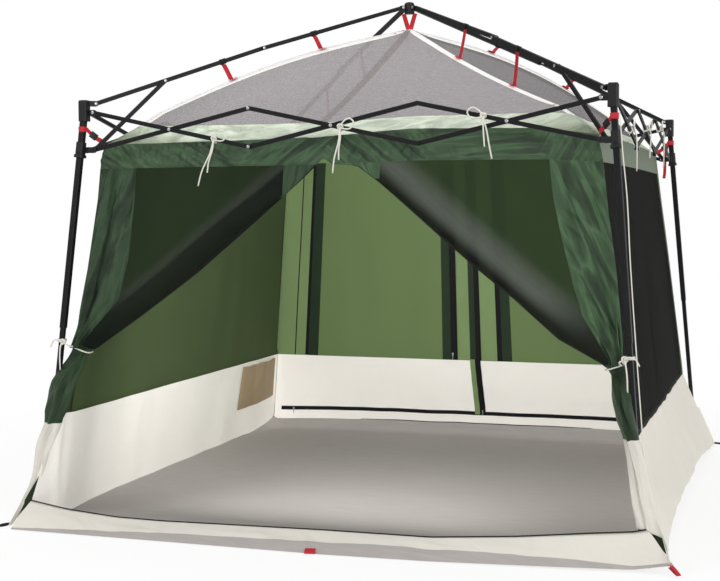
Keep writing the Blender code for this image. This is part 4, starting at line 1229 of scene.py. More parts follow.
class SCREENHOUSE_OT_flaps(bpy.types.Operator):
    """Door flaps tied back to the front legs, with their net rolled at the zip edge"""

    bl_idname = "screen_house.flaps"
    bl_label = "Door flaps"

    def execute(self, context):
        s = sizes()
        steps = BORDER_STEPS + WINDOW_STEPS + ROLL_STEPS
        for hand, name, corner in ((-1, "left", "front_left"), (1, "right", "front_right")):
            heights = flap_rows(hand)
            middles = (heights[1:] + heights[:-1]) / 2
            grid = flap_grid(hand)
            names = []
            for z in middles:
                if z > s.eave_height - s.header:
                    row = ["header"] * steps
                elif z > TIE_HEIGHT:
                    strip = "border" if z > FLAPS[hand]["parting"] else "net"
                    row = ["border"] * BORDER_STEPS + ["net"] * WINDOW_STEPS
                    row += [strip] * (ROLL_STEPS - 2) + ["zip"] * 2
                else:
                    # The feet under the tie are in the sill's darker cream: painted shade.
                    row = ["border" if z > FLAPS[hand]["strip"] else "sill"] * steps
                row = [kind if kind in FINISHES else f"{kind}_{name}" for kind in row]
                names.append(row if hand < 0 else row[::-1])
            zones, place = np.array(names, dtype=object), (0, hand, corner)
            lining = {f"border_{name}": "panel", f"header_{name}": "green"}
            piece = hang_cloth(f"flap_{name}", grid, zones, place, lining)
            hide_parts(f"door_{name}")
            self.gusset(name, place)
        return {"FINISHED"}

    def gusset(self, name, place):
        """Patch that closes the corner between the sill, the flap's foot and the tub, in the darker green of painted
        shade
        """
        top, toe, sill, foot = (np.array(point) for point in GUSSETS[name])

        def point(down, across):
            return (top + (toe - top) * across) * (1 - down) + (sill + (foot - sill) * across) * down

        steps = np.linspace(0, 1, 10)
        grid = lattice(steps, steps if name == "right" else steps[::-1], point)
        hang_cloth(f"gusset_{name}", grid, "dark_green", place)


# Front edge of the groundsheet: ground line, bound upper edge, and the share of the sill that is cream, by x
SILL_GROUND = (
    (-1.43, -1.665, 0.002), (-0.67, -1.655, 0.002), (0.09, -1.648, 0.002), (0.55, -1.617, 0.002),
    (1.10, -1.560, 0.008), (1.375, -1.520, 0.010), (1.540, -1.518, 0.040),
)
SILL_EDGE = (
    (-1.405, -1.530, 0.107), (-1.20, -1.545, 0.082), (-0.95, -1.552, 0.066), (-0.72, -1.555, 0.065),
    (0.05, -1.545, 0.079), (0.535, -1.535, 0.081), (0.90, -1.520, 0.108), (1.20, -1.505, 0.140),
    (1.39, -1.485, 0.156), (1.434, -1.480, 0.168),
)
SILL_STEPS = (9, 4)  # rows of the sill's cream part and of its grey edge
SILL_CREAM = ((-1.43, 0.95), (-0.67, 0.63), (0.05, 0.53), (0.50, 0.48), (1.19, 0.76), (1.40, 0.92))
SILL_SAG, SILL_CREASE = 0.012, 0.006
FLOOR_STEPS = 97
FLOOR_CUTS = (24, 45)  # rows of the floor's grid where its three widths of cloth are sewn together
FLOOR_WIDTHS = (  # name, body and bound end of each width, from the back
    ("back", "upper_leg_back_left", "back"), ("middle", "tent", None), ("front", "upper_leg_front_left", "sill")
)


def along_line(points, share):
    """Point of a line given by x, y and z, at a share of its run in x."""
    points = np.asarray(points)
    x = points[0][0] + (points[-1][0] - points[0][0]) * share
    return np.array([x, *(np.interp(x, points[:, 0], points[:, k]) for k in (1, 2))])


class SCREENHOUSE_OT_groundsheet(bpy.types.Operator):
    """Grey floor with a sloping sill along the doorway and bound edges"""

    bl_idname = "screen_house.groundsheet"
    bl_label = "Groundsheet"

    def execute(self, context):
        shares = np.linspace(0, 1, FLOOR_STEPS)
        floor, sill = self.floor_rows(shares), self.sill_rows(shares)
        grid = np.concatenate([floor, sill])[:, ::-1]
        zones = np.full((len(grid) - 1, len(shares) - 1), "floor", dtype=object)
        zones[len(floor):len(floor) + SILL_STEPS[0]] = "sill"
        edges = {"sill": [along_line(SILL_EDGE, share) + (0, 0, 0.003) for share in shares[::2]]}
        for side in (1, 2, 3):
            run = np.linspace(-TUB_CORNER[0], TUB_CORNER[0], 61)
            edges[SIDES[side]] = [
                turned((s, -tub_line(side, s)[0] + 0.003, tub_line(side, s)[1] + 0.002), side) for s in run
            ]
        cuts = (0, *FLOOR_CUTS, len(grid) - 1)
        for (name, body, edge), low, high in zip(FLOOR_WIDTHS, cuts, cuts[1:]):
            part = grid[low:high + 1]
            width = sheet(f"floor_{name}", part, zones[low:high])
            near, far = part[0, :, 1].mean(), part[-1, :, 1].mean()
            trim = [self.bound_edge(f"bound_edge_{edge}", edges[edge])] if edge else []
            for side in ("left", "right"):
                line = [point for point in edges[side] if far - 0.05 < point[1] < near + 0.05]
                trim.append(self.bound_edge(f"bound_edge_{side}_{name}", line))
            declare_sheet(part)
            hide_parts("groundsheet")
            for piece in (width, *trim):
                carried(piece, body)
                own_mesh(piece)
        for hand, corner in ((1, "back_left"), (-1, "back_right")):
            self.corner_seam(hand, corner)
        return {"FINISHED"}

    def floor_rows(self, shares):
        """Floor from the back wall to the doorway, and the sill's inner face"""

        def flat(back, share):
            edge = along_line(SILL_EDGE, share)
            back_x = (2 * share - 1) * TUB_CORNER[0]
            back_y, back_z = tub_line(2, -back_x)
            y = back_y + (edge[1] - back_y) * back
            left, right = -self.half_width(3, y), self.half_width(1, y)
            x = back_x + (left + (right - left) * share - back_x) * smooth(back, 0, 0.08)
            left_z = tub_line(3, -y)[1] * (1 - smooth(share, 0, 0.03))
            right_z = tub_line(1, y)[1] * smooth(share, 0.97, 1)
            wave = 0.003 * (ripple(x * 3, y * 3) + 1) + 0.002 * (ripple(x * 9, y * 2, 4) + 1)
            level = FLOOR_LEVEL + wave * smooth(back, 0, 0.1)
            return x, y, max(level, back_z * (1 - smooth(back, 0, 0.05)), left_z, right_z)

        def inner(up, share):
            return along_line(SILL_EDGE, share) * (1, 1, up) + (0, 0.055 * (1 - up), FLOOR_LEVEL)

        backs = np.concatenate([[0, 0.015, 0.03], np.linspace(0.05, 0.965, 62)])
        return np.concatenate([lattice(backs, shares, flat), lattice((0.25, 0.6, 0.9), shares, inner)])

    def sill_rows(self, shares):
        """Outer face of the sill, from its bound edge to the ground"""

        def point(step, share):
            high, low = along_line(SILL_EDGE, share), along_line(SILL_GROUND, share)
            cream = np.interp(low[0], *zip(*SILL_CREAM))
            down = np.interp(step, (0, SILL_STEPS[0], sum(SILL_STEPS)), (0, cream, 1))
            sag = SILL_SAG * math.sin(math.pi * down)
            crease = SILL_CREASE * creases(high[0], down * 0.1, 0.25, 0.05, 5, 3) * math.sin(math.pi * down)
            return high + (low - high) * down + (0, -sag * 0.4, sag * 0.3 + crease)

        return lattice(range(sum(SILL_STEPS) + 1), shares, point)

    def corner_seam(self, hand, corner):
        """Bound seam of a back corner, up the tub and the wall"""
        seam = [turned(tub_point(2, hand, rise), 2) for rise in np.linspace(0, 1, 16)]
        for z in np.linspace(sizes().tub_height + 0.04, sizes().eave_height - 0.03, 24):
            out = reach(z) - LINING_GAP
            seam.append(turned((hand * out, -out, z), 2))
        hang_on_leg(self.bound_edge(f"corner_seam_{corner}", seam), 2, hand, corner)

    def half_width(self, side, y):
        """From the middle to the tub's seam, or past the front leg to the end of the sill"""
        s = -y if side == 3 else y
        sill = SILL_EDGE[0] if side == 3 else SILL_EDGE[-1]
        bend = TUB_CORNER[0]
        if -y < bend:
            return tub_line(side, s)[0]
        return np.interp(-y, (bend, -sill[1]), (tub_line(side, math.copysign(bend, s))[0], abs(sill[0])))

    def bound_edge(self, name, path):
        return tube(name, path, sizes().piping / 2, "piping", 6)


# Straps, cords and fittings


BLUNT = 0.6  # angle between faces up to which their edge is shaded smooth


def start(add, **settings):
    """Deselect everything and add a primitive to work from."""
    bpy.ops.object.select_all(action="DESELECT")
    add(**settings)
    return bpy.context.object


def block(*size):
    """Block of a size at the origin, to be shaped in edit mode."""
    piece = start(bpy.ops.mesh.primitive_cube_add, size=1, scale=size)
    bpy.ops.object.transform_apply(location=False, rotation=False, scale=True)
    return piece


def step_in(thickness, way):
    """Inset the selected faces and move what is left of them."""
    bpy.ops.mesh.inset(thickness=thickness)
    bpy.ops.transform.translate(value=way)


def pick(piece, test):
    """Go to edit mode with just the faces selected whose normals pass the test."""
    bpy.ops.object.mode_set(mode="OBJECT")
    mesh = piece.data
    mesh.vertices.foreach_set("select", [False] * len(mesh.vertices))
    mesh.edges.foreach_set("select", [False] * len(mesh.edges))
    mesh.polygons.foreach_set("select", [test(polygon.normal) for polygon in mesh.polygons])
    bpy.context.tool_settings.mesh_select_mode = (False, False, True)
    bpy.ops.object.mode_set(mode="EDIT")


def round_off(piece, offset):
    """Bevel all edges, leave edit mode and smooth the shading over blunt edges."""
    bpy.ops.object.mode_set(mode="EDIT")
    bpy.ops.mesh.select_all(action="SELECT")
    if offset:
        bpy.ops.mesh.bevel(offset=offset, segments=2, affect="EDGES")
    bpy.ops.object.mode_set(mode="OBJECT")
    bpy.ops.object.shade_smooth_by_angle(angle=BLUNT)
    return piece


def copies(name, model, places, kind):
    """One piece of copies of a model, each put in its place by a matrix."""
    parts = []
    for place in places:
        mesh = model.data.copy()
        mesh.transform(place)
        mesh.materials.clear()
        mesh.materials.append(FINISHES[kind])
        parts.append(link(name, mesh))
    return joined(name, parts)


def placed(at, right, up):
    """Matrix that puts a model's X and Z axes along right and up, at a point."""
    x, z = Vector(unit(np.asarray(right, float))), Vector(unit(np.asarray(up, float)))
    y = z.cross(x).normalized()
    x = y.cross(z)
    matrix = Matrix((x, y, z)).transposed().to_4x4()
    matrix.translation = Vector(at)
    return matrix


def ring_path(centre, first, second, half_first, half_second, count=20):
    """Rounded oblong loop round a bar; first and second are the directions of its half sizes."""
    angles = np.linspace(0, 2 * math.pi, count, endpoint=False)
    squared = [np.sign(wave) * abs(wave) ** 0.6 for wave in (np.cos(angles), np.sin(angles))]
    first, second = unit(np.asarray(first, float)), unit(np.asarray(second, float))
    return np.asarray(centre) + half_first * squared[0][:, None] * first + half_second * squared[1][:, None] * second


KNOT_SIZE = 0.013


def cord_ring(*oblong):
    """Cord laid round in a loop, given as to ring_path."""
    return tube("ring", ring_path(*oblong), sizes().cord / 2, "cord", 6, True)


def knot(at):
    """Pulled-tight knot: a cord that runs three times through its own loop."""
    t = np.linspace(0, 2 * math.pi, 54, endpoint=False)
    swell = 2 + np.cos(3 * t)
    path = np.stack([swell * np.cos(2 * t), -np.sin(3 * t) * 1.2, swell * np.sin(2 * t)], axis=1)
    return tube("knot", np.asarray(at) + path * KNOT_SIZE / 3, sizes().cord * 0.55, "cord", 6, looped=True)


def free_cord(name, points, body, diameter, count=20):
    """Limp cord along a smooth curve."""
    path = even_path(points, count)
    piece = carried(tube(name, path, diameter / 2, "cord", 8), body)
    return piece


# Ties of the roof to the truss on each side: place along the side, bar, tail's lean, tail's length
TRUSS_TIES = {
    0: ((-0.566, "a1", -0.36, 0.215), (0.049, "a2", -0.16, 0.205), (0.70, "a3", 0.22, 0.185)),
    1: ((-0.72, "a1", 0.25, 0.19), (-0.10, "a2", -0.2, 0.15), (0.55, "a3", 0.1, 0.21)),
    2: ((-0.60, "a1", 0.18, 0.20), (0.06, "a2", -0.22, 0.19), (0.66, "a3", -0.1, 0.18)),
    3: ((-0.62, "a1", -0.2, 0.19), (0.05, "a2", 0.2, 0.21), (0.64, "a3", 0.15, 0.17)),
}
TRUSS_PLANE = 1.255  # middle of the outer bars' layer, from the middle of the tent
BAR_RUN, BAR_TOP, BAR_DROP = 0.8, 1.93, 0.176
TRUSS_RING, LEG_RING = (0.0095, 0.0145), (0.0185, 0.0185)  # half sizes of the rings of cord
BOW = (
    (0, -0.002, 0.004), (0.024, -0.008, 0.028), (0.050, -0.010, 0.036), (0.068, -0.010, 0.016),
    (0.052, -0.011, -0.008), (0.026, -0.010, -0.010), (0.003, -0.005, -0.004),
)
LEG_TIE_HEIGHT = 0.845
# Flaps' ties: corner, hand, middle and half sizes of the ring round the flap
FLAP_TIES = (
    ("front_left", -1, (-1.252, -1.305, 0.806), (0.050, 0.034)),
    ("front_right", 1, (1.276, -1.305, 0.806), (0.044, 0.036)),
)
FLAP_TIE_ENDS = {  # from the knot, on the right
    "a": ((0, -0.006, 0), (0.018, -0.012, 0.012), (0.045, -0.010, 0.004), (0.062, -0.006, -0.024)),
    "b": ((0, -0.006, -0.003), (0.006, -0.012, -0.02), (0.012, -0.010, -0.07), (0.014, -0.004, -0.135)),
}
SPARE_CORD = (
    (1.283, -1.300, 1.868), (1.300, -1.322, 1.70), (1.322, -1.338, 1.501), (1.338, -1.352, 1.25),
    (1.361, -1.372, 0.968), (1.388, -1.396, 0.671), (1.404, -1.412, 0.50), (1.416, -1.424, 0.40),
)
SPARE_CORD_DIAMETER = 0.005


class SCREENHOUSE_OT_ties(bpy.types.Operator):
    """Cords: bows that tie the roof to the truss, ties that hold the flaps back, and a spare cord on a leg"""

    bl_idname = "screen_house.ties"
    bl_label = "Ties"

    def execute(self, context):
        for side, ties in TRUSS_TIES.items():
            for number, (s, bar, lean, drop) in enumerate(ties):
                self.truss_tie(side, number, s, bar, lean, drop)
        for tie in FLAP_TIES:
            self.flap_tie(*tie)
        free_cord(
            "spare_cord", SPARE_CORD, "upper_leg_front_right", SPARE_CORD_DIAMETER,
            count=30,
        )
        return {"FINISHED"}

    def truss_tie(self, side, number, s, bar, lean, drop):
        """Ring round a bar, a knot in front of it, a bow and a hanging tail"""
        d = sizes().cord
        body = f"bar_{bar}_{SIDES[side]}"
        middle = (int(bar[1]) - 2) * BAR_RUN
        slope = -BAR_DROP / BAR_RUN
        z = BAR_TOP - BAR_DROP / 2 + slope * (s - middle)
        along = unit(np.array((1, 0, slope)))
        across = np.array((-along[2], 0, along[0]))
        at = np.array((s, -TRUSS_PLANE, z))
        name = f"{SIDES[side]}_{number + 1}"
        rings = [cord_ring(at + along * shift, (0, 1, 0), across, *TRUSS_RING) for shift in (-0.004, 0.004)]
        front = at + (0, -0.0165, 0.002)
        piece = joined(f"tie_{name}", [*rings, knot(front)])
        piece.data.transform(Matrix(quarter_turn(side)).to_4x4())
        carried(piece, body)
        flip = 1 if lean < 0 else -1
        tail = np.array((
            (0, -0.004, -0.004), (lean * 0.02 + 0.004, -0.012, -0.030),
            (lean * drop * 0.3 + 0.006, -0.013, -drop * 0.34), (lean * drop * 0.72, -0.012, -drop * 0.68),
            (lean * drop, -0.010, -drop),
        ))
        cords = [("bow", np.array(BOW) * (flip, 1, 1), "object"), ("tail", tail, "bare")]
        if side == 0:
            aside = np.array((1, 0, 0)) * np.linspace(0, 0.016 * flip, 5)[:, None]
            cords.append(("end", tail * (0.6, 1, 0.72) + aside, "bare"))
        for part, points, end in cords:
            free_cord(f"tie_{part}_{name}", [turned(front + point, side) for point in points], body, d)

    def flap_tie(self, corner, hand, waist, half):
        """Ring round the flap's waist and one round the leg, with the knot and tails between them"""
        d = sizes().cord
        body = f"upper_leg_{corner}"
        reach_leg = leg_line(LEG_TIE_HEIGHT)
        leg = np.array((hand * reach_leg, -reach_leg, LEG_TIE_HEIGHT))
        tilt = unit(np.array((hand * 1.0, 0, 0.35)))
        front = np.array((hand * (reach_leg - 0.020), -reach_leg - 0.026, LEG_TIE_HEIGHT - 0.002))
        lead = (front, front + (hand * -0.022, -0.002, -0.012), np.array(waist) + (hand * 0.03, -half[1], 0.010))
        parts = [cord_ring(waist, tilt, (0, 1, 0), *half, 26)]
        parts += [cord_ring(leg + (0, 0, up), (1, 0, 0), (0, 1, 0), *LEG_RING) for up in (0, d)]
        parts += [tube("lead", even_path(lead, 14), d / 2, "cord", 6), knot(front)]
        carried(joined(f"flap_tie_{corner}", parts), body)
        for name, points in FLAP_TIE_ENDS.items():
            path = [front + np.array(point) * (hand, 1, 1) for point in points]
            free_cord(f"flap_tie_end_{name}_{corner}", path, body, d, count=16)


# Hanging straps of the roof: distance of a strap from the middle planes, the bar it hangs on, and that bar's layer
HANGERS = ((0.40, "upper_rafter", 0.0085), (0.75, "lower_rafter", -0.0085))
HANGER_LEAN = 0.030  # how far a hanger's foot is nearer to the middle than its top
HANGER_LOOP = (0.0105, 0.0130)  # half sizes of the loop round a rafter
LEG_STRAP_HEIGHT, LEG_STRAP_WIDTH, LEG_LOOP = 1.852, 0.025, 0.0168
PEAK_STRAP_TOP, PEAK_STRAP_WIDTH = (0.032, 2.507), 0.024
# Peg loops of red webbing: name, foot, reach and width; and of black cord: name, foot and reach
FLAT_LOOPS = (
    ("front_right", (1.525, -1.512, 0.036), (0.040, -0.046, -0.024), 0.018),
    ("sill", (0.035, -1.640, 0.016), (0.006, -0.030, -0.008), 0.046),
)
BLACK_LOOPS = (
    ("front_left", (-1.462, -1.606, 0.014), (-0.048, -0.030, -0.008)),
    ("back_right", (1.512, 1.512, 0.014), (0.046, 0.030, -0.008)),
    ("back_left", (-1.512, 1.512, 0.014), (-0.046, 0.030, -0.008)),
)
PEG_LOOP_ANCHOR = (-1.36, -1.36, 0.1)


def rafter_point(corner, half):
    """Axis of a rafter over a point on the diagonal."""
    stations = [PIVOTS[f"{joint}_{CORNERS[corner]}"] for joint in ("hub_pivot", "rafter_fold", "corner_pivot")]
    z = np.interp(half, [abs(point[0]) for point in stations], [point[2] for point in stations])
    return turned((-half, -half, z), corner)


class SCREENHOUSE_OT_straps(bpy.types.Operator):
    """Webbing: hangers from the rafters and the hub to the roof, leg straps with buckles, peg loops"""

    bl_idname = "screen_house.straps"
    bl_label = "Straps"

    def execute(self, context):
        buckle = self.buckle()
        for corner, name in enumerate(CORNERS):
            for half, bar, layer in HANGERS:
                self.hanger(corner, name, half, bar, layer)
            self.leg_strap(corner, name, buckle)
        bpy.data.objects.remove(buckle)
        self.peak()
        self.peg_loops()
        return {"FINISHED"}

    def hanger(self, corner, name, half, bar, layer):
        across = turned((1, -1, 0), corner) / DIAGONAL
        run = unit(rafter_point(corner, half + 0.03) - rafter_point(corner, half - 0.03))
        normal = np.cross(run, across)
        normal *= math.copysign(1, normal[2])
        top = rafter_point(corner, half) + across * layer
        hip = half - HANGER_LEAN
        low = turned((-hip, -hip, roof_height(corner, hip, 1.0) + 0.002), corner)
        ring = ring_path(top, across, normal, *HANGER_LOOP)
        loop = webbing("loop", ring, run, sizes().webbing * 1.1, "black_webbing", 0.002, True)
        high = top - normal * 0.013
        bow = across * 0.002 * np.sin(np.linspace(0, math.pi, 9))[:, None]
        path = high + (low - high) * np.linspace(0, 1, 9)[:, None] + bow
        level = turned((-1, -1, 0), corner) / DIAGONAL
        strap = webbing("strap", path, level, sizes().webbing)
        further = turned((-hip - 0.1, -hip - 0.1, roof_height(corner, hip + 0.1, 1.0)), corner)
        foot = low + np.outer(np.linspace(-0.012, 0.03, 5), unit(low - further))
        patch = webbing("patch", foot + (0, 0, 0.0015), across, sizes().webbing * 1.1)
        carried(joined(f"hanger_{bar}_{name}", [strap, loop, patch]), f"{bar}_{name}")

    def buckle(self):
        """Ladder buckle: a rounded frame with a sunk middle and a bar across it"""
        piece = block(0.036, 0.007, 0.032)
        pick(piece, lambda normal: normal.y < -0.9)
        step_in(0.006, (0, 0.0035, 0))
        step_in(0.007, (0, -0.003, 0))
        return round_off(piece, 0.0010)

    def leg_strap(self, corner, name, buckle):
        z = LEG_STRAP_HEIGHT
        leg = turned((-leg_line(z), -leg_line(z), z), corner)
        inward = turned((1, 1, 0), corner) / DIAGONAL
        ring = ring_path(leg, (1, 0, 0), (0, 1, 0), LEG_LOOP, LEG_LOOP, 28)
        loop = webbing("loop", ring, (0, 0, 1), LEG_STRAP_WIDTH, "webbing", 0.002, True)
        eave = turned((-1.183, -1.183, sizes().eave_height + 0.012), corner)
        near = leg + inward * 0.020
        path = near + (eave - near) * np.linspace(0, 1, 9)[:, None]
        path[:, 2] -= 0.008 * np.sin(np.linspace(0, math.pi, 9))
        parts = [loop, webbing("strap", path, (0, 0, 1), LEG_STRAP_WIDTH)]
        if corner == 2:
            side = turned((1, -1, 0), corner) / DIAGONAL
            tail = leg + side * 0.024 + np.outer(np.linspace(0, 1, 10), side * 0.045 + np.array((0, 0, -0.21)))
            tail += np.outer(np.sin(np.linspace(0, 5, 10)), inward) * 0.008
            parts.append(webbing("strap", tail, inward, 0.022))
        carried(joined(f"leg_strap_{name}", parts), f"upper_leg_{name}")
        face = np.cross(inward, (0, 0, 1))
        face *= math.copysign(1, face[1]) * -1
        slope = unit(eave - near)
        places = [placed(path[3] + face * 0.003, slope, np.cross(slope, face))]
        carried(copies(f"buckle_{name}", buckle, places, "plastic"), f"upper_leg_{name}")

    def peak(self):
        """Two straps from the hub to the peak of the roof, in a V"""
        tip = np.array((0, 0, sizes().peak_height + 0.003))
        parts = []
        for hand in (-1, 1):
            top = np.array((hand * PEAK_STRAP_TOP[0], 0, PEAK_STRAP_TOP[1]))
            path = top + (tip + (hand * 0.006, hand * 0.001, 0) - top) * np.linspace(0, 1, 7)[:, None]
            parts.append(webbing("strap", path, np.cross(path[-1] - path[0], (0, 1, 0)), PEAK_STRAP_WIDTH))
        carried(joined("peak_strap", parts), "hub")

    def peg_loops(self):
        """Loops for the ground pegs at the four corners and in the middle of the sill"""
        turn = np.linspace(-0.5, 0.5, 15) * math.pi
        for name, at, out, width in FLAT_LOOPS:
            path = np.array(at) + np.outer(np.cos(turn) ** 0.6, out) + np.outer(np.sin(turn), (0, 0, 0.006))
            self.carry_loop(webbing(f"peg_loop_{name}", path, np.cross(out, (0, 0, 1)), width), name)
        for name, at, out in BLACK_LOOPS:
            at, out = np.array(at), np.array(out)
            side = unit(np.cross(out, (0, 0, 1))) * 0.012
            steps = ((0.45, 1), (0.85, 1), (1, 0), (0.85, -1), (0.45, -1))
            points = (at, *(at + out * along + side * across for along, across in steps), at + (0, 0, 0.001))
            strap = webbing(f"peg_loop_{name}", even_path(points, 24), (0, 0, 1), 0.009, "black_webbing", 0.003)
            self.carry_loop(strap, name)

    def carry_loop(self, piece, name):
        """Ride with the front of the floor, or with the leg at its corner of the tent"""
        if name == "sill":
            carried(piece, "upper_leg_front_left")
            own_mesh(piece)
            return
        carried(piece, f"upper_leg_{name}")
        corner = CORNERS.index(name)
        outward = turned((-1, -1, 0), corner) / DIAGONAL
        anchor = turned(PEG_LOOP_ANCHOR, corner)
        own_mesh(piece)


RIVET_HEAD = 0.007  # radius of the frame's own rivet heads
CAP_SINK = 0.0026  # how far a cap is let into the face of its rivet
# Snap buttons: part of the frame, height, and distance of its face from a leg's axis
BUTTONS = (("slider", 1.742, 0.0185), ("upper_leg", 0.945, 0.0140))
BUTTON_SHARE = 0.8  # size of a button next to a rivet cap


def rivet_heads(node):
    """Centres and outward directions of the round rivet heads in a node's mesh."""
    mesh = frame["nodes"][node].data
    mesh.calc_loop_triangles()
    spots = np.array([vertex.co for vertex in mesh.vertices])
    a, b, c = (spots[[triangle.vertices[k] for triangle in mesh.loop_triangles]] for k in range(3))
    normal = np.cross(b - a, c - a)
    double = np.maximum(np.linalg.norm(normal, axis=1), 1e-12)
    sides = [np.linalg.norm(p - q, axis=1) ** 2 for p, q in ((b, c), (c, a), (a, b))]
    radius = np.sqrt(sides[0] * sides[1] * sides[2]) / (2 * double)
    weights = np.stack([sides[k] * (sides[(k + 1) % 3] + sides[(k + 2) % 3] - sides[k]) for k in range(3)], axis=1)
    centre = (a * weights[:, :1] + b * weights[:, 1:2] + c * weights[:, 2:]) / (4 * double**2)[:, None]
    heads = {}
    for k in np.flatnonzero(abs(radius - RIVET_HEAD) < 4e-4):
        out = normal[k] / double[k]
        heads.setdefault((tuple(np.round(centre[k], 3)), tuple(np.round(out, 1) + 0.0)), []).append((centre[k], out))
    return [np.mean(found, axis=0) for found in heads.values() if len(found) >= 5]


class SCREENHOUSE_OT_hardware(bpy.types.Operator):
    """Zinc rivet caps on the frame's pivots, snap buttons on the sliders and legs, and zip pullers"""

    bl_idname = "screen_house.hardware"
    bl_label = "Rivets, buttons and pullers"

    def execute(self, context):
        cap = self.cap()
        for node in frame["nodes"]:
            if node.startswith(("bar_", "upper_rafter", "lower_rafter", "brace")):
                places = [placed(at, np.cross(out, (0.3, 0.2, 1)), out) for at, out in rivet_heads(node)]
                places = [place @ Matrix.Translation((0, 0, -CAP_SINK)) for place in places]
                if places:
                    carried(copies(f"rivets_{node}", cap, places, "rivet"), BODY_OF_NODE[node])
        for corner, name in enumerate(CORNERS):
            for body, z, half in BUTTONS:
                out = turned((-1, 0, 0) if corner % 2 else (0, -1, 0), corner)
                at = turned((-leg_line(z), -leg_line(z), z), corner) + out * half
                place = placed(at, (0, 0, 1), out) @ Matrix.Scale(BUTTON_SHARE, 4)
                carried(copies(f"button_{body}_{name}", cap, [place], "steel"), f"{body}_{name}")
        bpy.data.objects.remove(cap)
        self.pullers()
        return {"FINISHED"}

    def cap(self):
        """Domed cap, a few dozen faces"""
        piece = start(
            bpy.ops.mesh.primitive_cylinder_add, vertices=12, radius=0.0078, depth=0.0036, location=(0, 0, 0.0018)
        )
        bpy.ops.object.transform_apply(location=True, rotation=False, scale=False)
        pick(piece, lambda normal: normal.z > 0.9)
        step_in(0.0020, (0, 0, 0.0009))
        step_in(0.0028, (0, 0, 0.0004))
        return round_off(piece, 0)

    def pullers(self):
        """Zip sliders with their tabs: a waisted body, and a tapered tab drawn out of its lower face"""
        model = block(0.011, 0.007, 0.016)
        pick(model, lambda normal: normal.z < -0.9)
        bpy.ops.mesh.inset(thickness=0.002)
        bpy.ops.mesh.extrude_region_move(TRANSFORM_OT_translate={"value": (0, -0.002, -0.026)})
        bpy.ops.transform.resize(value=(0.75, 0.6, 1))
        pick(model, lambda normal: abs(normal.x) > 0.9)
        bpy.ops.transform.resize(value=(0.85, 1, 1))
        round_off(model, 0.0008)
        for name, side, at, hand in (
            ("back_middle", 2, tub_point(2, -0.052, 0.16) + (0, 0.012, 0.030), -1),
            ("back_edge", 2, tub_point(2, 0.90, 0.168) + (0, 0.010, 0), 1),
            ("back_panel", 2, (0.0675 * 1.33, -reach(0.53) + 0.055, 0.54), 1),
        ):
            place = placed(turned(at, side), turned((-1, 0, 0), side), (0, 0, 1))
            piece = copies(f"puller_{name}", model, [place], "rivet")
            hang_on_leg(piece, side, hand, CORNERS[side] if hand < 0 else CORNERS[(side + 1) % 4])
        bpy.data.objects.remove(model)


class SCREENHOUSE_OT_frame_finish(bpy.types.Operator):
    """Powder coat and moulded finishes for the frame's own nodes"""

    bl_idname = "screen_house.frame_finish"
    bl_label = "Frame finishes"

    def execute(self, context):
        for name, node in frame["nodes"].items():
            moulded = name.startswith(("bracket", "slider", "hub"))
            node.data.materials.clear()
            node.data.materials.append(FINISHES["plastic" if moulded else "steel"])
        return {"FINISHED"}


STAGE_NEAR, STAGE_FAR = 1.9, 4.2  # the stage floor turns to plain white between these distances
STAGE_GLOW = 0.80  # share of the near floor that is plain white to the camera
STAGE_SIZE, STAGE_LEVEL = 60, -0.001
LAMPS = (  # name, place, aim, size and power
    ("key", (-4.5, -6.5, 6.0), (0, 0, 0.9), 3.0, 190),
    ("fill", (6.5, -5.0, 4.0), (0, 0, 0.9), 5.0, 120),
    ("top", (0, 0.5, 7.5), (0, 0.3, 0), 6.0, 200),
    ("inside", (0, -1.0, 1.10), (0, 1.3, 0.62), 1.6, 28),
)
SUN_POWER, SUN_ANGLE, SUN_AIM = 1.3, 0.6, (-0.56, 0.80, -0.22)
SKY_POWER = 0.5
CAMERA_PLACE = (1.9992, -6.8374, 1.4749)
CAMERA_TURN = (0.3224, 0.0629, -0.0041)  # yaw to the left, pitch down and roll
FOCAL_LENGTH, IMAGE_WIDTH = 1317.97, 720  # in pixels
SENSOR = 36


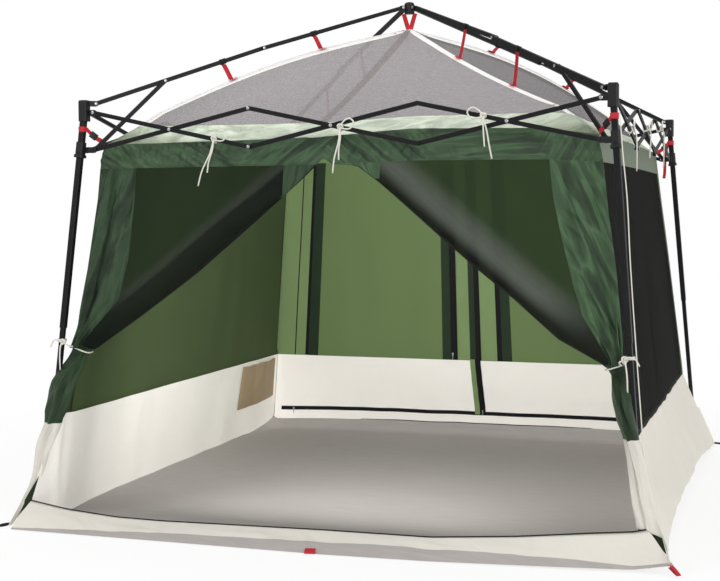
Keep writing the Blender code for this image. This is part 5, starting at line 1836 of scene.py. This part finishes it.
class SCREENHOUSE_OT_stage(bpy.types.Operator):
    """Pale floor, soft studio light and the camera"""

    bl_idname = "screen_house.stage"
    bl_label = "Stage"

    def execute(self, context):
        scene = context.scene
        scene.view_settings.view_transform = "Standard"
        ground = start(bpy.ops.mesh.primitive_plane_add, size=STAGE_SIZE, location=(0, 0, STAGE_LEVEL))
        ground.name = "stage_floor"
        ground.data.materials.append(self.floor_paint())
        self.sky(scene)
        for name, place, aim, size, power in LAMPS:
            lamp = bpy.data.lights.new(name, "AREA")
            lamp.size = size
            lamp.energy = power
            holder = self.hold(scene, lamp, Vector(aim) - Vector(place))
            holder.visible_camera = False
            holder.location = place
        self.front_light(scene)
        self.camera(scene)
        return {"FINISHED"}

    def hold(self, scene, lamp, aim):
        holder = bpy.data.objects.new(lamp.name, lamp)
        holder.rotation_euler = Vector(aim).to_track_quat("-Z", "Y").to_euler()
        scene.collection.objects.link(holder)
        return holder

    def front_light(self, scene):
        """Even light from the doorway's side that reaches the inside past the flaps"""
        lamp = bpy.data.lights.new("front", "SUN")
        lamp.energy = SUN_POWER
        lamp.angle = SUN_ANGLE
        lamp.use_shadow = False
        self.hold(scene, lamp, SUN_AIM)

    def floor_paint(self):
        """White ground that keeps the shadow near the object and is plain white further out"""
        paint = Paint("stage_floor", 0.9, 0.1)
        paint.feed(Base_Color=linear(250, 250, 250))
        seen = [paint.node("ShaderNodeLightPath", output=name) for name in (
            "Is Camera Ray", "Is Glossy Ray", "Is Transmission Ray")]
        at = paint.place()
        x, y = paint.axis(at, 0), paint.axis(at, 1)
        far = paint.between((x * x + y * y) ** 0.5, STAGE_NEAR, STAGE_FAR)
        share = (seen[0] + seen[1] + seen[2]) * (far * (1 - STAGE_GLOW) + STAGE_GLOW)
        glow = paint.node("ShaderNodeEmission", None, {"Color": (1, 1, 1), "Strength": 1.0})
        surface = Field(paint, paint.shader.outputs[0])
        mixed = paint.node("ShaderNodeMixShader", None, {0: share, 1: surface, 2: glow})
        paint.tree.links.new(mixed.socket, paint.tree.nodes["Material Output"].inputs["Surface"])
        return paint.material

    def sky(self, scene):
        """White to the camera, and a plain level of light to everything else"""
        world = scene.world = bpy.data.worlds.new("studio")
        world.use_nodes = True
        nodes, links = world.node_tree.nodes, world.node_tree.links
        light, seen = nodes["Background"], nodes.new("ShaderNodeBackground")
        for node in (light, seen):
            node.inputs["Color"].default_value = (1, 1, 1, 1)
        light.inputs["Strength"].default_value = SKY_POWER
        blend = nodes.new("ShaderNodeMixShader")
        camera_ray = nodes.new("ShaderNodeLightPath").outputs["Is Camera Ray"]
        for source, socket in zip((camera_ray, light.outputs[0], seen.outputs[0]), blend.inputs):
            links.new(source, socket)
        links.new(blend.outputs[0], nodes["World Output"].inputs["Surface"])

    def camera(self, scene):
        """Camera at the photograph's place, level and lens"""
        yaw, pitch, roll = CAMERA_TURN
        forward = Vector((-math.sin(yaw) * math.cos(pitch), math.cos(yaw) * math.cos(pitch), -math.sin(pitch)))
        right = Vector((math.cos(yaw), math.sin(yaw), 0))
        up = right.cross(forward)
        tilt_right = right * math.cos(roll) + up * math.sin(roll)
        tilt_up = up * math.cos(roll) - right * math.sin(roll)
        lens = bpy.data.cameras.new("camera")
        lens.sensor_width = SENSOR
        lens.lens = FOCAL_LENGTH / IMAGE_WIDTH * SENSOR
        camera = bpy.data.objects.new("camera", lens)
        matrix = Matrix((tilt_right, tilt_up, -forward)).transposed().to_4x4()
        matrix.translation = CAMERA_PLACE
        camera.matrix_world = matrix
        scene.collection.objects.link(camera)
        scene.camera = camera


class SCREENHOUSE_PT_panel(bpy.types.Panel):
    """Lists the pieces in the sidebar"""

    bl_idname = "SCREENHOUSE_PT_panel"
    bl_label = "Screen House"
    bl_space_type = "VIEW_3D"
    bl_region_type = "UI"
    bl_category = "Screen House"

    def draw(self, context):
        for operator in OPERATORS:
            self.layout.operator(operator.bl_idname)


OPERATORS = (
    SCREENHOUSE_OT_stage,
    SCREENHOUSE_OT_ties,
    SCREENHOUSE_OT_frame_finish,
    SCREENHOUSE_OT_roof,
    SCREENHOUSE_OT_walls,
    SCREENHOUSE_OT_panels,
    SCREENHOUSE_OT_tub,
    SCREENHOUSE_OT_flaps,
    SCREENHOUSE_OT_groundsheet,
    SCREENHOUSE_OT_straps,
    SCREENHOUSE_OT_hardware,
)
CLASSES = (ScreenHouseSizes, ScreenHouseColours, *OPERATORS, SCREENHOUSE_PT_panel)


def register():
    for cls in CLASSES:
        bpy.utils.register_class(cls)
    bpy.types.Scene.screen_house_sizes = bpy.props.PointerProperty(type=ScreenHouseSizes)
    bpy.types.Scene.screen_house_colours = bpy.props.PointerProperty(type=ScreenHouseColours)


def unregister():
    del bpy.types.Scene.screen_house_colours
    del bpy.types.Scene.screen_house_sizes
    for cls in reversed(CLASSES):
        bpy.utils.unregister_class(cls)


def main():
    register()
    mix_finishes()
    for operator in OPERATORS:
        family, name = operator.bl_idname.split(".")
        getattr(getattr(bpy.ops, family), name)()


if __name__ == "__main__":
    main()
